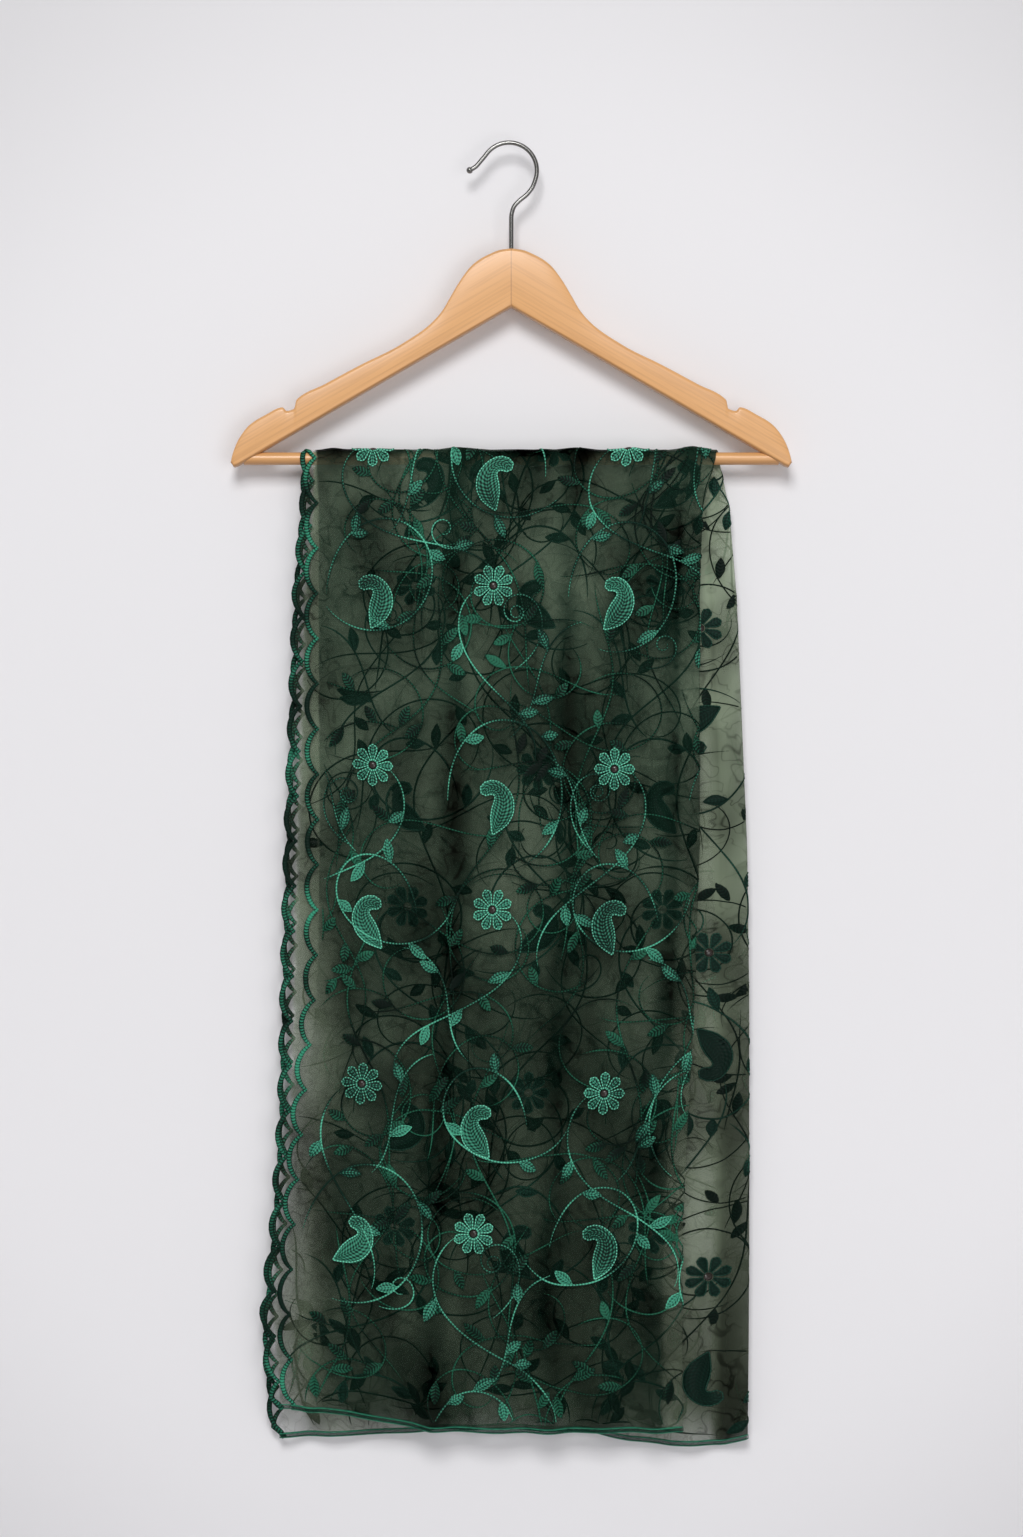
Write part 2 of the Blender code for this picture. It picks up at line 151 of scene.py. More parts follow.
# Right arm's upper edge from the glued seam to the tip, and its lower edge
EdgePoint = namedtuple("EdgePoint", "across_mm height_mm")
ARM_TOP = (
    EdgePoint(0.0, -82.7),
    EdgePoint(8.6, -83.8),
    EdgePoint(17.1, -87.1),
    EdgePoint(24.5, -91.0),
    EdgePoint(31.3, -96.2),
    EdgePoint(40.5, -108.1),
    EdgePoint(47.6, -120.0),
    EdgePoint(55.1, -132.7),
    EdgePoint(64.6, -143.0),
    EdgePoint(72.2, -149.0),
    EdgePoint(82.5, -155.7),
    EdgePoint(94.4, -162.8),
    EdgePoint(116.6, -173.6),
    EdgePoint(147.5, -190.1),
    EdgePoint(170.1, -202.5),
    EdgePoint(172.0, -209.6),
    EdgePoint(177.8, -211.4),
    EdgePoint(181.2, -208.6),
    EdgePoint(195.1, -214.8),
    EdgePoint(207.0, -222.3),
    EdgePoint(215.7, -233.4),
    EdgePoint(220.9, -246.1),
    EdgePoint(222.1, -252.5),
)
ARM_BOTTOM = (
    EdgePoint(0.0, -129.1),
    EdgePoint(216.5, -254.9),
    EdgePoint(219.9, -256.0),
    EdgePoint(222.1, -252.5),
)

# Hook wire: stem, neck and flared lip
HOOK_NECK = (
    EdgePoint(1.8, -93.0),
    EdgePoint(1.8, -80.0),
    EdgePoint(1.8, -68.0),
    EdgePoint(1.8, -56.0),
    EdgePoint(3.6, -49.0),
    EdgePoint(8.2, -44.2),
    EdgePoint(14.3, -39.6),
    EdgePoint(18.8, -33.8),
)
HOOK_LIP = (
    EdgePoint(-22.8, -13.2),
    EdgePoint(-25.9, -17.3),
    EdgePoint(-31.1, -20.2),
)

# Long edges of a fall: part of the way down, both layers' border seams and the fold
Edge = namedtuple("Edge", "part outer_seam_mm inner_seam_mm fold_mm")
FRONT_EDGES = (
    Edge(0.00, -151.5, -153.1, 164.2),
    Edge(0.05, -149.9, -153.9, 153.9),
    Edge(0.14, -149.9, -159.8, 151.5),
    Edge(0.40, -149.1, -166.6, 151.5),
    Edge(0.55, -150.5, -169.4, 147.6),
    Edge(0.69, -160.5, -171.6, 142.0),
    Edge(0.80, -167.5, -177.0, 138.2),
    Edge(0.90, -171.8, -185.6, 138.0),
    Edge(1.00, -168.2, -178.5, 138.0),
)
BACK_EDGES = (
    Edge(0.00, -152.3, -153.1, 167.4),
    Edge(0.05, -153.1, -153.9, 175.7),
    Edge(0.14, -158.2, -159.4, 181.6),
    Edge(0.40, -165.4, -166.2, 190.0),
    Edge(0.55, -168.2, -169.4, 191.6),
    Edge(0.69, -170.9, -172.1, 191.6),
    Edge(0.80, -176.5, -177.7, 191.6),
    Edge(0.90, -184.0, -185.2, 191.2),
    Edge(1.00, -177.7, -178.5, 190.4),
)

# Ripples from the seam to the fold: share of the width, height at bar and hem, and how much
# closer the net bunches there
Ripple = namedtuple("Ripple", "share bar_mm hem_mm bunch")
FRONT_RIPPLES = (
    Ripple(0.070, 1.8, 5.5, 0.9),
    Ripple(0.220, 0.3, 4.0, 0.0),
    Ripple(0.132, 2.2, 9.0, 0.8),
    Ripple(0.171, 0.4, 5.0, 0.0),
    Ripple(0.124, 2.0, 9.0, 0.7),
    Ripple(0.153, 0.4, 5.0, 0.1),
    Ripple(0.130, 2.4, 7.5, 1.0),
)
BACK_RIPPLES = (
    Ripple(0.100, 1.6, 6.0, 0.5),
    Ripple(0.180, 0.4, 4.5, 0.0),
    Ripple(0.130, 2.2, 8.5, 0.6),
    Ripple(0.160, 0.4, 5.0, 0.0),
    Ripple(0.140, 1.8, 9.0, 0.6),
    Ripple(0.170, 0.5, 5.5, 0.0),
    Ripple(0.120, 2.0, 7.0, 0.1),
)

# Small creases: across from the seam, stretch down the fall, width and height
Crease = namedtuple("Crease", "place top bottom lean width height_mm")
CREASES = (
    Crease(0.10, -0.05, 0.22, 0.03, 0.018, 1.3),
    Crease(0.19, 0.10, 0.55, -0.02, 0.022, 1.2),
    Crease(0.27, -0.05, 0.16, -0.02, 0.014, 1.0),
    Crease(0.33, 0.30, 1.05, 0.02, 0.020, 1.6),
    Crease(0.41, -0.05, 0.30, 0.03, 0.016, 1.4),
    Crease(0.48, 0.45, 1.05, -0.03, 0.024, 1.3),
    Crease(0.57, -0.05, 0.20, -0.03, 0.015, 1.2),
    Crease(0.63, 0.15, 0.70, 0.02, 0.020, 1.5),
    Crease(0.72, 0.55, 1.05, -0.02, 0.022, 1.4),
    Crease(0.79, -0.05, 0.26, -0.04, 0.016, 1.5),
    Crease(0.88, 0.20, 0.85, 0.02, 0.022, 1.3),
    Crease(0.94, -0.05, 0.18, 0.02, 0.012, 1.0),
)

# Height of the hem below the bar's centre, along the width
HemPoint = namedtuple("HemPoint", "across_mm drop_mm")
FRONT_HEM = (
    HemPoint(-173.7, 753.0),
    HemPoint(-126.0, 757.5),
    HemPoint(-62.7, 769.5),
    HemPoint(-7.0, 771.4),
    HemPoint(138.0, 770.6),
)
BACK_HEM = (
    HemPoint(-189.6, 778.4),
    HemPoint(-118.0, 776.5),
    HemPoint(-57.9, 772.9),
    HemPoint(-7.1, 771.3),
    HemPoint(69.0, 775.0),
    HemPoint(95.2, 780.8),
    HemPoint(129.3, 784.8),
    HemPoint(170.5, 784.8),
    HemPoint(189.6, 779.2),
)
Fall = namedtuple("Fall", "edges ripples hem")
FRONT = Fall(FRONT_EDGES, FRONT_RIPPLES, FRONT_HEM)
BACK = Fall(BACK_EDGES, BACK_RIPPLES, BACK_HEM)

# Embroidery: a block holds one flower and one paisley, and repeats up and across the cloth.
# A stroke starts beside its flower or paisley; bends are its turning, in radians per metre, at
# four points of its way.
FIRST_COLUMN = 43.5 * MM
COLUMN_PITCH = 100.0 * MM
COLUMNS = 6
ROW_PITCH = 128.0 * MM
FIRST_ROW = 8.0 * MM
# A dark stroke is the vine thread in a dark colour: painted shade, for vines seen in shade
Stroke = namedtuple("Stroke", "anchor thread across_mm along_mm heading length_mm bends width_mm "
                    "leaves every")
STROKES = (
    Stroke("paisley", "bright", -38.0, 8.0, 84.0, 250.0, (-7.0, -33.0, -16.0, -22.0), 1.6, 3, 1),
    Stroke("paisley", "bright", 14.0, 58.0, 35.0, 115.0, (30.0, 8.0, -20.0, -30.0), 1.4, 2, 1),
    Stroke("flower", "bright", 15.0, -4.0, -30.0, 185.0, (-36.0, -16.0, 4.0, 34.0), 1.5, 2, 1),
    Stroke("flower", "bright", -18.0, -66.0, 150.0, 155.0, (-16.0, -36.0, -95.0, -240.0), 1.3, 0,
           2),
    Stroke("paisley", "bright", 26.0, -48.0, -15.0, 75.0, (22.0, 55.0, 110.0, 210.0), 1.3, 0, 3),
    Stroke("flower", "dark", -30.0, -84.0, 82.0, 260.0, (8.0, -14.0, 17.0, -12.0), 1.5, 3, 1),
    Stroke("paisley", "dark", 10.0, -28.0, -62.0, 220.0, (24.0, 30.0, 20.0, -16.0), 1.4, 2, 1),
    Stroke("flower", "dark", 22.0, 30.0, 152.0, 230.0, (20.0, 26.0, 34.0, 58.0), 1.5, 2, 1),
    Stroke("paisley", "dark", 42.0, -22.0, 112.0, 210.0, (-18.0, 15.0, 30.0, 42.0), 1.3, 2, 1),
    Stroke("flower", "dark", -44.0, 6.0, -70.0, 190.0, (14.0, -22.0, -30.0, -50.0), 1.3, 2, 1),
    Stroke("paisley", "dark", -20.0, -60.0, 40.0, 240.0, (-20.0, -34.0, -12.0, 26.0), 1.2, 1, 1),
    Stroke("flower", "dark", 8.0, 60.0, -160.0, 200.0, (-26.0, 8.0, 34.0, 70.0), 1.2, 1, 1),
    Stroke("paisley", "dark", 30.0, 20.0, -100.0, 170.0, (40.0, 60.0, 30.0, -10.0), 1.1, 0, 1),
    Stroke("flower", "dark", -8.0, -30.0, -110.0, 230.0, (-12.0, 20.0, -24.0, 14.0), 1.2, 1, 1),
)
HEADING_CHANGE = 0.12
BEND_CHANGE = 0.22
LENGTH_CHANGE = 0.1
Motif = namedtuple("Motif", "name across along turn side")
PAISLEY_RISE = (128.0 * MM, 78.0 * MM)
COLUMN_SHIFT = (0.0, 145.0 * MM)
FLOWER_TURN = 0.39
PAISLEY_TURN = 0.31
MOTIF_MARGIN = 18.0 * MM
STROKE_MARGIN = 110.0 * MM
PATH_MARGIN = 2.5 * MM
STEP = 3.6 * MM
FEWEST_STEPS = 4
BEND_PLACES = (0.0, 0.33, 0.67, 1.0)

# Thread: how deep it starts in the net, how deep the outer layer behind counts for the painted
# shade of deeper layers and how wide the change to the inner layer is, how high it stands, half
# the width of outlines, and how cords taper
THREAD_BASE = -0.2 * MM
DEPTH_BEHIND = 0.4
DEPTH_CHANGE_WIDTH = 0.02
VINE_HEIGHT = {"bright": 0.9 * MM, "dark": 0.5 * MM}
LEAF_LENGTH = {"bright": 17.0 * MM, "dark": 18.0 * MM}
FILL_HEIGHT = 0.8 * MM
OUTLINE_HEIGHT = 1.1 * MM
LEAF_OUTLINE = 0.45 * MM
PETAL_OUTLINE = 0.55 * MM
PAISLEY_OUTLINE = 0.6 * MM
LEAF_OUTLINE_RISE = 1.2
CORD_END = 0.35
CORD_TAPER = (0.1, 0.15)

# Half widths along a leaf, a petal and a paisley, from the first end to the last; bends are in
# radians per metre
WidthPoint = namedtuple("WidthPoint", "part half_mm")
LEAF = (
    WidthPoint(0.00, 0.4),
    WidthPoint(0.15, 2.0),
    WidthPoint(0.40, 4.0),
    WidthPoint(0.60, 4.1),
    WidthPoint(0.85, 2.3),
    WidthPoint(1.00, 0.3),
)
LEAF_STEPS = 9
LEAF_LEAN = math.radians(38.0)
LEAF_TURN = 0.2
LEAF_BEND = 18.0
LEAF_SIZES = (0.8, 1.2)
PETALS = 8
PETAL_START = 3.4 * MM
PETAL_LENGTH = 13.0 * MM
PETAL_STEPS = 8
PETAL = (
    WidthPoint(0.00, 1.1),
    WidthPoint(0.25, 1.9),
    WidthPoint(0.55, 3.4),
    WidthPoint(0.80, 3.9),
    WidthPoint(0.93, 2.8),
    WidthPoint(1.00, 0.6),
)
BEAD_RADIUS = 3.0 * MM
BEAD_STEPS = 9
BEAD_POLE = 0.06
BEAD_DOME = 0.45
PAISLEY_LENGTH = 54.0 * MM
PAISLEY_HEADING = math.radians(48.0)
PAISLEY_BENDS = (-6.0, 12.0, 88.0, 160.0)
PAISLEY_STEPS = 18
PAISLEY = (
    WidthPoint(0.00, 0.5),
    WidthPoint(0.08, 3.6),
    WidthPoint(0.22, 7.8),
    WidthPoint(0.38, 9.4),
    WidthPoint(0.54, 8.2),
    WidthPoint(0.68, 6.0),
    WidthPoint(0.82, 5.8),
    WidthPoint(0.93, 5.6),
    WidthPoint(1.00, 2.4),
)

# Stitches of each thread: distance between them and their slant, brighter or darker rim (a darker
# rim is painted shade along the sides), dark middle line, lines along the shape, how much deeper
# layers are darkened as painted shade, strength of the patches of painted shine, and how much
# brighter or darker the whole is
Stitch = namedtuple("Stitch", "pitch_mm slant_mm rim groove rows fading patches level")
STITCHES = {
    "satin": Stitch(2.4, 0.6, -0.45, 0.0, 0.0, 0.25, 4.0, -0.40),
    "bright_vine": Stitch(2.6, 0.8, -0.60, 0.0, 0.0, 0.80, 3.8, -0.32),
    # The dark vine and leaf threads are painted shade: the vine thread darkened for vines in shade
    "dark_vine": Stitch(2.6, 0.8, -0.40, 0.0, 0.0, 0.80, 3.4, -0.30),
    "bright_leaf": Stitch(2.6, 2.2, -0.10, 0.3, 1.5, 0.80, 2.0, -0.20),
    "dark_leaf": Stitch(2.6, 2.2, 0.20, 0.3, 0.0, 0.80, 3.4, -0.40),
    "flower": Stitch(2.6, 1.6, -0.45, 0.35, 1.5, 0.85, 1.2, -0.28),
    "paisley": Stitch(2.8, 5.0, -0.05, 0.4, 3.0, 0.85, 1.4, -0.28),
    "petal_outline": Stitch(2.4, 0.3, 0.00, 0.0, 0.0, 0.85, 0.8, 0.00),
    "paisley_outline": Stitch(2.4, 0.3, 0.00, 0.0, 0.0, 0.85, 1.2, -0.05),
}
THREAD_DARKEST = 0.10
THREAD_BRIGHTEST = 2.7
THREAD_SPECULAR = 0.08
THREAD_BUMP = 0.2 * MM
FLECK_SCALE = 380.0
FLECK_SHARE = 0.40
STITCH_SHARE = 0.8
PAINTED_SHINE_SCALE = 21.0
SHINE_RANGE = (-0.10, 1.15)
RIM_ZONE = (0.45, 0.95)
GROOVE_ZONE = (0.03, 0.18)

# Net: unevenness and walls of its cells, and its two kinds of crumpling; where the inner layer
# and the roll at the back fold begin, the roll being closer net with painted shade
CELL_RANDOMNESS = 0.35
CELL_WALL = (0.04, 0.30)
PATCH_SCALE = 15.0
PATCH_STRETCH = 0.55
PATCH_RANGE = (-0.14, 0.12)
SWIRL_SCALE = 52.0
SWIRL_TWIST = 0.9
SWIRL_WIDTH = 0.035
FOLD_BLUR = 2.0 * MM
INNER_DEPTH = 0.6
ROLL_REACH = (18.0 * MM, 28.0 * MM)

# What each adds to the share of the net that is thread, and how bright the net's colour is
# painted where: painted light in open patches and at the slack edges, painted shade in dense
# patches, swirls, gathers and the roll, and brighter at the bar than at the hems
Cover = namedtuple("Cover", "behind rolled walls close patches fading swirls")
COVER = Cover(behind=0.10, rolled=0.50, walls=0.02, close=0.26, patches=0.85, fading=0.25,
              swirls=0.13)
Tone = namedtuple("Tone", "open dense swirls gathered at_bar at_hem rolled slack")
TONE = Tone(open=1.5, dense=0.55, swirls=0.4, gathered=0.62, at_bar=1.36, at_hem=0.78,
            rolled=0.75, slack=0.55)

# Wood: scales along the grain, through the arm and across the grain; how dark grain, the painted
# shade along the lower edge and the seam are
BROAD_GRAIN = (3.0, 15.0, 45.0)
FINE_GRAIN = (16.0, 90.0, 640.0)
BROAD_SHARE = 0.35
FINE_SHARE = 0.36
EDGE_PAINTED_SHADE = 0.9
SEAM_SHADE = 0.8
SEAM_ZONE = (0.2 * MM, 0.7 * MM)
GRAIN_BUMP = 0.04 * MM

# Wall: distance over which it darkens as painted shade, and to what share
WALL_DARKENING = (0.45, 0.90)
WALL_FAR_SHARE = 0.76

# Profiles of what lies on the net: across in half widths, up in heights
CORD_PROFILE = ((1.0, 0.0), (0.5, 1.0), (-0.5, 1.0), (-1.0, 0.0))
DOME_PROFILE = ((1.0, 0.1), (0.82, 0.65), (0.4, 0.95), (0.0, 1.0), (-0.4, 0.95), (-0.82, 0.65),
                (-1.0, 0.1), (0.0, 0.0))
BAND_PROFILE = ((1.0, 0.0), (0.8, 0.8), (0.0, 1.0), (-0.8, 0.8), (-1.0, 0.0), (-0.8, -0.8),
                (0.0, -1.0), (0.8, -0.8))

# Stage: edges of the wall and floor, lamps and camera
STAGE_HALF_WIDTH = 3.0
FLOOR_Z = -1.25
FLOOR_FRONT = -1.2
WALL_TOP = 2.2
WALL_MIDDLE_Z = -0.55
Lamp = namedtuple("Lamp", "name place target size")
KEY_LAMP = Lamp("key", (-0.3, -4.1, 1.8), (0.0, 0.0, -0.5), 1.6)
FILL_LAMP = Lamp("fill", (1.2, -3.6, -1.1), (0.0, 0.0, -1.0), 2.0)
SKY_COLOUR = (1.0, 0.995, 1.0, 1.0)
CAMERA_PLACE = (2.0 * MM, -2.879, -0.4948)
CAMERA_LENS_MM = 85.0
CAMERA_SENSOR_MM = 36.0


def column(table, name):
    """One named column of a table as an array, in metres where the name ends in _mm."""
    values = np.array([getattr(row, name) for row in table], dtype=float)
    return values * MM if name.endswith("_mm") else values


def ease(t):
    """Smooth step from 0 to 1 with level ends."""
    t = np.clip(t, 0.0, 1.0)
    return t * t * (3.0 - 2.0 * t)


def unit(vectors):
    """Vectors brought to length 1."""
    return vectors / np.maximum(np.linalg.norm(vectors, axis=-1, keepdims=True), 1e-12)


def fair_curve(table, at):
    """Height along an edge table: cubic pieces whose slopes never overshoot the points.

    Each inner slope is the harmonic mean of its two neighbours, or level at a turning point.
    """
    x = column(table, "across_mm")
    z = column(table, "height_mm")
    secant = np.diff(z) / np.diff(x)
    before, after = secant[:-1], secant[1:]
    same = before * after > 0.0
    inner = np.where(same, 2.0 * before * after / np.where(same, before + after, 1.0), 0.0)
    slope = np.concatenate((secant[:1], inner, secant[-1:]))
    i = np.clip(np.searchsorted(x, at, side="right") - 1, 0, len(x) - 2)
    h = x[i + 1] - x[i]
    t = (at - x[i]) / h
    return ((1 + 2 * t) * (1 - t) ** 2 * z[i] + t * (1 - t) ** 2 * h * slope[i]
            + t ** 2 * (3 - 2 * t) * z[i + 1] + t ** 2 * (t - 1) * h * slope[i + 1])


# Cloth surface: across runs 0 to 1 from the outer layer's seam to the fold and 1 to 2 back to the
# inner layer's seam; along is metres from the front hem, over the bar, to the back hem

def ripple_lift(fall, place, part):
    """Sine squared across each ripple, its height eased from the bar to the hem."""
    shares = column(fall.ripples, "share")
    ends = np.cumsum(shares / shares.sum())
    i = np.clip(np.searchsorted(ends, place, side="right"), 0, len(ends) - 1)
    start = np.concatenate(([0.0], ends[:-1]))[i]
    across = (place - start) / (ends[i] - start)
    grown = ease(part)
    bar = column(fall.ripples, "bar_mm")[i]
    hem = column(fall.ripples, "hem_mm")[i]
    return ((1.0 - grown) * bar + grown * hem) * np.sin(np.pi * np.clip(across, 0.0, 1.0)) ** 2


def bunching(fall, place):
    """How much closer the net bunches, highest in the middle of each narrow ripple."""
    shares = column(fall.ripples, "share")
    ends = np.cumsum(shares / shares.sum())
    middles = ends - shares / 2
    total = np.zeros_like(place)
    for middle, share, amount in zip(middles, shares, column(fall.ripples, "bunch")):
        total += amount * np.exp(-((place - middle) / (BUNCH_WIDTH * share)) ** 2)
    return total


def crease_lift(place, part):
    """Small soft ridges: a bell across and half a sine wave along each row of the table."""
    total = np.zeros(np.broadcast(place, part).shape)
    for row in CREASES:
        across = (place - row.place - row.lean * part) / row.width
        along = np.clip((part - row.top) / (row.bottom - row.top), 0.0, 1.0)
        total += row.height_mm * MM * np.exp(-across ** 2) * np.sin(np.pi * along)
    return total


def fall_section(fall, across, part):
    """X, distance from the bar's plane and share of the width of one fall, part of its way down.

    The two layers run side by side and join in a half circle at the lengthwise fold.
    """
    keys = column(fall.edges, "part")
    outer = np.interp(part, keys, column(fall.edges, "outer_seam_mm"))
    inner = np.interp(part, keys, column(fall.edges, "inner_seam_mm"))
    fold = np.interp(part, keys, column(fall.edges, "fold_mm"))
    drop = part * column(fall.hem, "drop_mm").mean()
    half_gap = (LAYER_STEP + LAYER_SPREAD * (1.0 - np.exp(-drop / SPREAD_DROP))) / 2
    fold = fold - CLOTH_THICKNESS / 2 - half_gap
    outside = across < 1.0
    share = np.clip(np.where(outside, across, 2.0 - across) / (1.0 - FOLD_SHARE), 0.0, 1.0)
    turn = np.clip((across - 1.0) / FOLD_SHARE, -1.0, 1.0) * math.pi / 2
    seam = np.where(outside, outer, inner)
    beyond = np.maximum(np.maximum(-across, across - 2.0), 0.0) * HALF_WIDTH
    x = seam + (fold - seam) * share + half_gap * np.cos(turn) - beyond
    place = np.clip((x - outer) / (fold - outer), 0.0, 1.0)
    depth = INNER_RADIUS + half_gap * (1.0 - np.sin(turn))
    depth = depth + ripple_lift(fall, place, part) + crease_lift(place, part)
    return x, depth, place


def net_drop(fall, x):
    """How far the net reaches below the bar's centre at X."""
    total = np.interp(x, column(fall.hem, "across_mm"), column(fall.hem, "drop_mm"))
    return total - HEM_HEIGHT - GAP


def cloth_points(across, along):
    """Points of the cloth's middle surface: both falls, blended round half a circle at the bar."""
    front_part = np.maximum(1.0 - along / FRONT_LENGTH, 0.0)
    back_part = np.maximum((along - FRONT_LENGTH - TURN_LENGTH) / BACK_LENGTH, 0.0)
    angle = np.clip((along - FRONT_LENGTH) / TURN_LENGTH, 0.0, 1.0) * math.pi
    blend = (1.0 - np.cos(angle)) / 2
    front_x, front_depth, _ = fall_section(FRONT, across, front_part)
    back_x, back_depth, _ = fall_section(BACK, across, back_part)
    x = (1.0 - blend) * front_x + blend * back_x
    depth = (1.0 - blend) * front_depth + blend * back_depth
    drop = front_part * net_drop(FRONT, x) + back_part * net_drop(BACK, x)
    return np.stack((x, -depth * np.cos(angle), BAR_Z + depth * np.sin(angle) - drop), axis=-1)


def drape(across, along, lift):
    """Cloth points moved out along the surface's own normal, which comes from small steps."""
    step = NORMAL_STEP / HALF_WIDTH
    sideways = cloth_points(across + step, along) - cloth_points(across - step, along)
    upwards = (cloth_points(across, along + NORMAL_STEP)
               - cloth_points(across, along - NORMAL_STEP))
    normal = unit(np.cross(sideways, upwards))
    return cloth_points(across, along) + normal * np.asarray(lift)[..., None]


# Meshes from arrays

def grid_faces(strips, rows, points, closed):
    """Four-sided faces of strips of rows of points, each row closed to a ring or left open."""
    i = np.arange(rows - 1)[:, None] * points
    j = np.arange(points if closed else points - 1)[None, :]
    k = (j + 1) % points
    faces = np.stack((i + j, i + k, i + points + k, i + points + j), axis=-1).reshape(-1, 4)
    starts = np.arange(strips)[:, None, None] * rows * points
    return (faces[None] + starts).reshape(-1, 4)


def add_piece(name, parts, closed, material):
    """A named piece from parts, each a grid (strips, rows, points, 3) and its pattern.

    The grid's own order gives the faces; the pattern holds three values for each point.
    """
    points = np.concatenate([grid.reshape(-1, 3) for grid, pattern in parts])
    values = np.concatenate([np.broadcast_to(pattern, grid.shape).reshape(-1, 3)
                             for grid, pattern in parts])
    starts = np.cumsum([0] + [grid.size // 3 for grid, pattern in parts])
    faces = np.concatenate([start + grid_faces(*grid.shape[:3], closed)
                            for start, (grid, pattern) in zip(starts, parts)]).astype(np.int32)
    mesh = bpy.data.meshes.new(name)
    mesh.vertices.add(len(points))
    mesh.vertices.foreach_set("co", points.astype(np.float32).ravel())
    mesh.loops.add(faces.size)
    mesh.loops.foreach_set("vertex_index", faces.ravel())
    mesh.polygons.add(len(faces))
    mesh.polygons.foreach_set("loop_start", np.arange(0, faces.size, 4, dtype=np.int32))
    mesh.update(calc_edges=True)
    attribute = mesh.attributes.new("pattern", "FLOAT_VECTOR", "POINT")
    attribute.data.foreach_set("vector", values.astype(np.float32).ravel())
    mesh.shade_smooth()
    mesh.materials.append(material)
    piece = bpy.data.objects.new(name, mesh)
    bpy.context.scene.collection.objects.link(piece)
    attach(piece, BODY)
    return piece


def add_thread(name, parts, material):
    """A named piece of thread, with closed sections."""
    return add_piece(name, parts, True, material)


def flat_normals(paths):
    """Directions square to flat paths (strips, steps, 2), to their left."""
    tangent = unit(np.gradient(paths, axis=1))
    return np.stack((-tangent[..., 1], tangent[..., 0]), axis=-1)


def carried(paths, half_widths, heights, profile, base=0.0):
    """A profile carried along flat paths (strips, steps, 2) and laid on the cloth.

    Each profile point stands off sideways by its first number of half widths and up by its
    second number of heights. Returns the grid and its pattern: length, side, and depth, which is
    0 on the outer layer in front, 0.4 on the outer layer behind and 1 on the inner layer.
    """
    normal = flat_normals(paths)
    profile = np.array(profile)
    offset = half_widths[..., None] * profile[:, 0]
    flat = paths[:, :, None, :] + normal[:, :, None, :] * offset[..., None]
    lift = base + heights[..., None] * profile[:, 1]
    grid = drape(flat[..., 0] / HALF_WIDTH, flat[..., 1], lift)
    steps = np.linalg.norm(np.diff(paths, axis=1), axis=-1)
    length = np.concatenate((np.zeros((len(paths), 1)), np.cumsum(steps, axis=1)), axis=1)
    inner = ease((flat[..., 0] / HALF_WIDTH - 1.0) / DEPTH_CHANGE_WIDTH + 0.5)
    behind = ease((flat[..., 1] - FRONT_LENGTH) / TURN_LENGTH)
    depth = np.maximum(inner, DEPTH_BEHIND * behind)
    pattern = np.stack(np.broadcast_arrays(length[..., None], profile[:, 0], depth), axis=-1)
    return grid, pattern


# Embroidery layout on the flat cloth

def motif_places(margin):
    """Flower and paisley centres in columns across the cloth, every second one shifted along it.

    They keep the margin from both hems, or pass them by as much where it is below 0.
    """
    places = []
    for c in range(COLUMNS):
        odd = c % 2
        for r in range(-1, int(NET_LENGTH / (2.0 * ROW_PITCH)) + 1):
            across = FIRST_COLUMN + COLUMN_PITCH * c
            along = FIRST_ROW + COLUMN_SHIFT[odd] + 2.0 * ROW_PITCH * r
            side = -1.0 if (c + r) % 2 else 1.0
            places.append(Motif("flower", across, along, FLOWER_TURN * (c + 2 * r), side))
            places.append(Motif("paisley", across, along + PAISLEY_RISE[odd],
                                PAISLEY_TURN * ((c + r) % 3 - 1), side))
    return [m for m in places if margin < m.along < NET_LENGTH - margin]


def centres(motifs):
    """Flat places of motifs, one row for each."""
    return np.array([(m.across, m.along) for m in motifs])


def turned_paths(starts, headings, lengths, bends, steps):
    """Paths (strips, steps, 2) whose heading turns by the bend at each point of the way.

    The bend runs between four values from start to end; the heading is its running sum, and the
    place is the running sum of the heading's cosine and sine. Returns the paths and headings.
    """
    t = np.linspace(0.0, 1.0, steps)
    bend = np.stack([np.interp(t, BEND_PLACES, row) for row in bends])
    step = (lengths / (steps - 1))[:, None]
    heading = headings[:, None] + np.cumsum(bend, axis=1) * step
    heading[:, 1:] = (heading[:, 1:] + heading[:, :-1]) / 2
    move = np.stack((np.cos(heading), np.sin(heading)), axis=-1) * step[..., None]
    move[:, 0] = 0.0
    return starts[:, None, :] + np.cumsum(move, axis=1), heading


def on_cloth(paths):
    """Which points of the paths lie on the cloth, a little inside its edges."""
    limit = np.array((2.0 * HALF_WIDTH, NET_LENGTH)) - PATH_MARGIN
    return ((paths > PATH_MARGIN) & (paths < limit)).all(axis=-1)


def kept_on_cloth(paths, headings):
    """The stretch of each path from its first point on the cloth to where it leaves it.

    The stretch gets as many points as the whole path had; those of under five points are
    dropped.
    """
    inside = on_cloth(paths)
    points = paths.shape[1]
    first = inside.argmax(axis=1)
    left = ~inside & (np.arange(points) > first[:, None])
    last = np.where(left.any(axis=1), left.argmax(axis=1), points) - 1
    kept = inside.any(axis=1) & (last - first >= FEWEST_STEPS)
    at = first[kept, None] + (last - first)[kept, None] * np.linspace(0.0, 1.0, points)
    low = np.minimum(at.astype(int), points - 2)
    share = (at - low)[..., None]
    values = np.concatenate((paths, headings[..., None]), axis=-1)[kept]
    rows = np.arange(len(values))[:, None]
    values = values[rows, low] * (1.0 - share) + values[rows, low + 1] * share
    return values[..., :2], values[..., 2]


